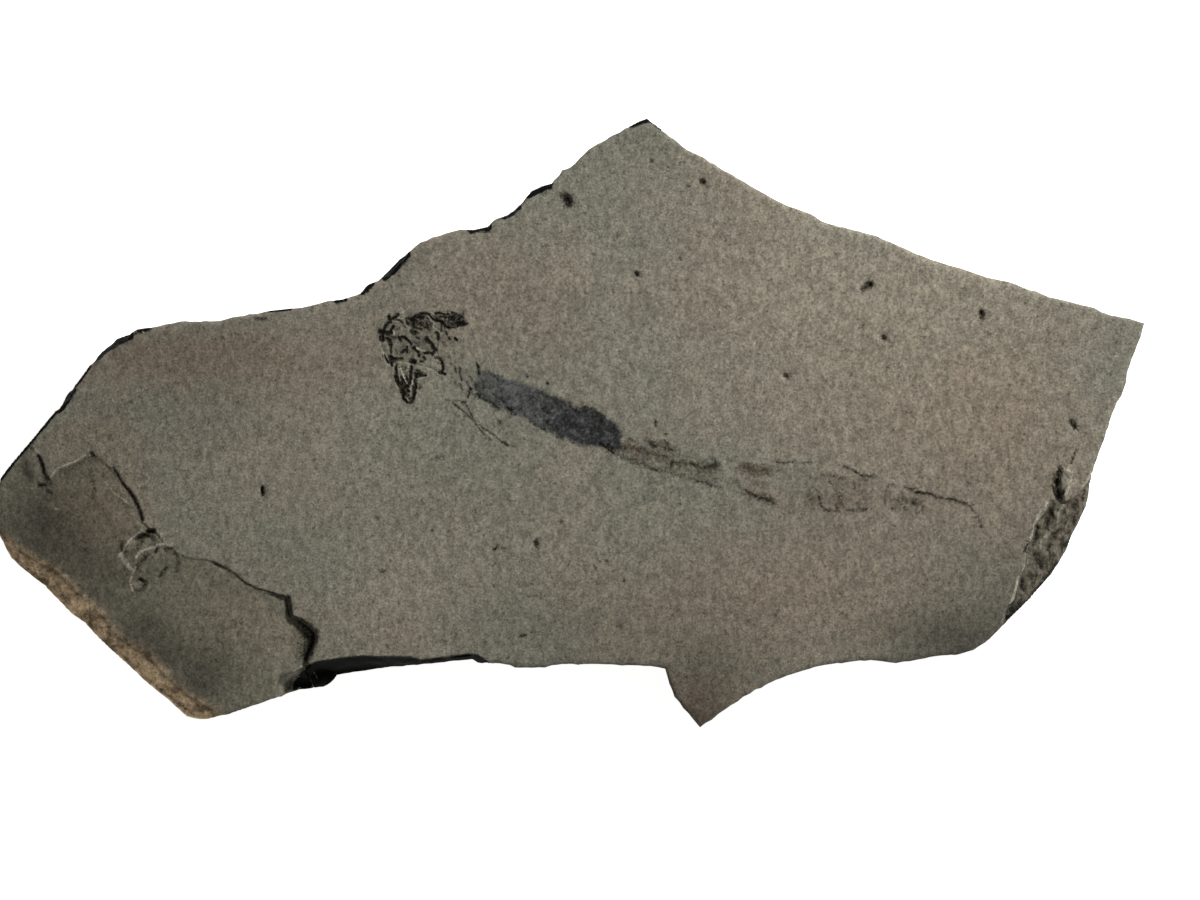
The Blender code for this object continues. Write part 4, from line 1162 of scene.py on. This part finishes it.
def stained(g, colour):
    """The faint pink and brown stains round the tail and the head."""
    pink = g.times(g.math("MAXIMUM", g.value("pink"), 0.0), PINK_SHARE, clamp=True)
    colour = g.mix(pink, colour, PINK)
    brown = g.times(g.math("MAXIMUM", g.value("brown"), 0.0), g.layer("brown wear"), clamp=True)
    return g.mix(brown, colour, BROWN)


def film_over(g, colour):
    """The carbon film of the body: mottled grey in front, and nearly black towards its rear."""
    along = rear_share(g)
    rear = g.times(g.step(along, *FILM_TURNS_DARK), REAR_DARKNESS)
    clouds = g.times(g.layer("film clouds"), CLOUD_DARKNESS)
    speckle = g.times(g.math("SUBTRACT", 0.5, g.layer("film speckle")), SPECKLE_DARKNESS)
    darkness = g.math("ADD", g.math("ADD", rear, clouds), speckle, clamp=True)
    cover = g.times(g.mask("film"), g.step(along, *FILM_COVERS))
    return g.mix(cover, colour, g.mix(darkness, FILM_GREY, FILM_DARK))


def rear_share(g):
    """0 at the body's front end and 1 at its rear end."""
    split = g.tree.nodes.new("ShaderNodeSeparateXYZ")
    g.join(g.place, split.inputs[0])
    front, back = millimetres([FILM_FRONT, FILM_REAR])[:, 0] * MM
    return g.math("DIVIDE", g.math("SUBTRACT", split.outputs["X"], float(front)), float(back - front))


def strokes_over(g, colour):
    """The dark strokes of bones and lines, painted shadow in hollows and below steps, and light bruises and
    painted highlights.
    """
    colour = g.mix(g.times(g.mask("ink_and_shadow"), g.layer("ink wear")), colour, INK_AND_SHADOW)
    return g.mix(g.times(g.mask("bruise_and_highlight"), BRUISE_AND_HIGHLIGHT_SHARE), colour, BRUISE_AND_HIGHLIGHT_STONE)


def add_grain_bump(g):
    """Grain that only the light shows."""
    height = g.math("ADD", g.noise(*FINE_BUMPS), g.times(g.noise(*COARSE_BUMPS), COARSE_SHARE))
    bump = g.tree.nodes.new("ShaderNodeBump")
    bump.inputs["Strength"].default_value = BUMP_STRENGTH
    bump.inputs["Distance"].default_value = BUMP_HEIGHT * MM
    g.join(height, bump.inputs["Height"])
    g.join(bump.outputs[0], g.shader.inputs["Normal"])


# Stage

WHITE = (1, 1, 1, 1)
FLOOR_COLOUR = (0.92, 0.92, 0.92, 1)
FLOOR_ROUGHNESS = 0.95
FLOOR_GLOW = 0.86
# Distances and sizes here are in metres, and angles in degrees
FLOOR_HALF = 2.5
KEY_AZIMUTH = 42.0
KEY_ELEVATION = 38.0
KEY_DISTANCE = 1.1
KEY_SIZE = 0.16
KEY_POWER = 12.8
SKY_STRENGTH = 0.2
CAMERA_HEIGHT = 2.0
CAMERA_REACH = 20
# The camera sensor's width in millimetres
SENSOR_WIDTH = 36.0


def floor_material():
    g = Graph("floor_surface")
    g.shader.inputs["Base Color"].default_value = FLOOR_COLOUR
    g.shader.inputs["Roughness"].default_value = FLOOR_ROUGHNESS
    g.shader.inputs["Emission Color"].default_value = WHITE
    g.shader.inputs["Emission Strength"].default_value = FLOOR_GLOW
    return g.material


def make_floor():
    mesh = bmesh.new()
    bmesh.ops.create_grid(mesh, x_segments=1, y_segments=1, size=FLOOR_HALF)
    data = bpy.data.meshes.new("floor")
    mesh.to_mesh(data)
    mesh.free()
    data.materials.append(floor_material())
    added("floor", data)


def make_camera():
    """Straight above the photograph's middle, far off, with the photograph's width in view."""
    x, y = millimetres([(PHOTO_WIDTH / 2, PHOTO_HEIGHT / 2)])[0] * MM
    camera = added("camera", bpy.data.cameras.new("camera"))
    camera.location = (x, y, TOP * MM + CAMERA_HEIGHT)
    camera.data.sensor_width = SENSOR_WIDTH
    camera.data.lens = SENSOR_WIDTH * CAMERA_HEIGHT / (PHOTO_WIDTH * MM_PER_PIXEL * MM)
    camera.data.clip_end = CAMERA_REACH
    bpy.context.scene.camera = camera


def make_key_light():
    azimuth, elevation = math.radians(KEY_AZIMUTH), math.radians(KEY_ELEVATION)
    level = math.cos(elevation)
    direction = Vector((math.cos(azimuth) * level, math.sin(azimuth) * level, math.sin(elevation)))
    light = bpy.data.lights.new("key", "AREA")
    light.shape = "DISK"
    light.size = KEY_SIZE
    light.energy = KEY_POWER
    key = added("key", light)
    key.location = direction * KEY_DISTANCE
    key.rotation_euler = direction.to_track_quat("Z", "Y").to_euler()


def make_sky():
    world = bpy.data.worlds.new("sky")
    world.use_nodes = True
    background = world.node_tree.nodes["Background"]
    background.inputs["Color"].default_value = WHITE
    background.inputs["Strength"].default_value = SKY_STRENGTH
    bpy.context.scene.world = world


BONE_LOOPS = {node: bone_loop(node) for node in BONES}

bpy.context.scene.view_settings.view_transform = "Standard"
make_camera()
make_key_light()
make_sky()
make_floor()
surface = stone_material()
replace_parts(make_stone(surface), "slab")
for bone in BONES:
    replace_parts(make_bone_piece(bone, surface), bone)
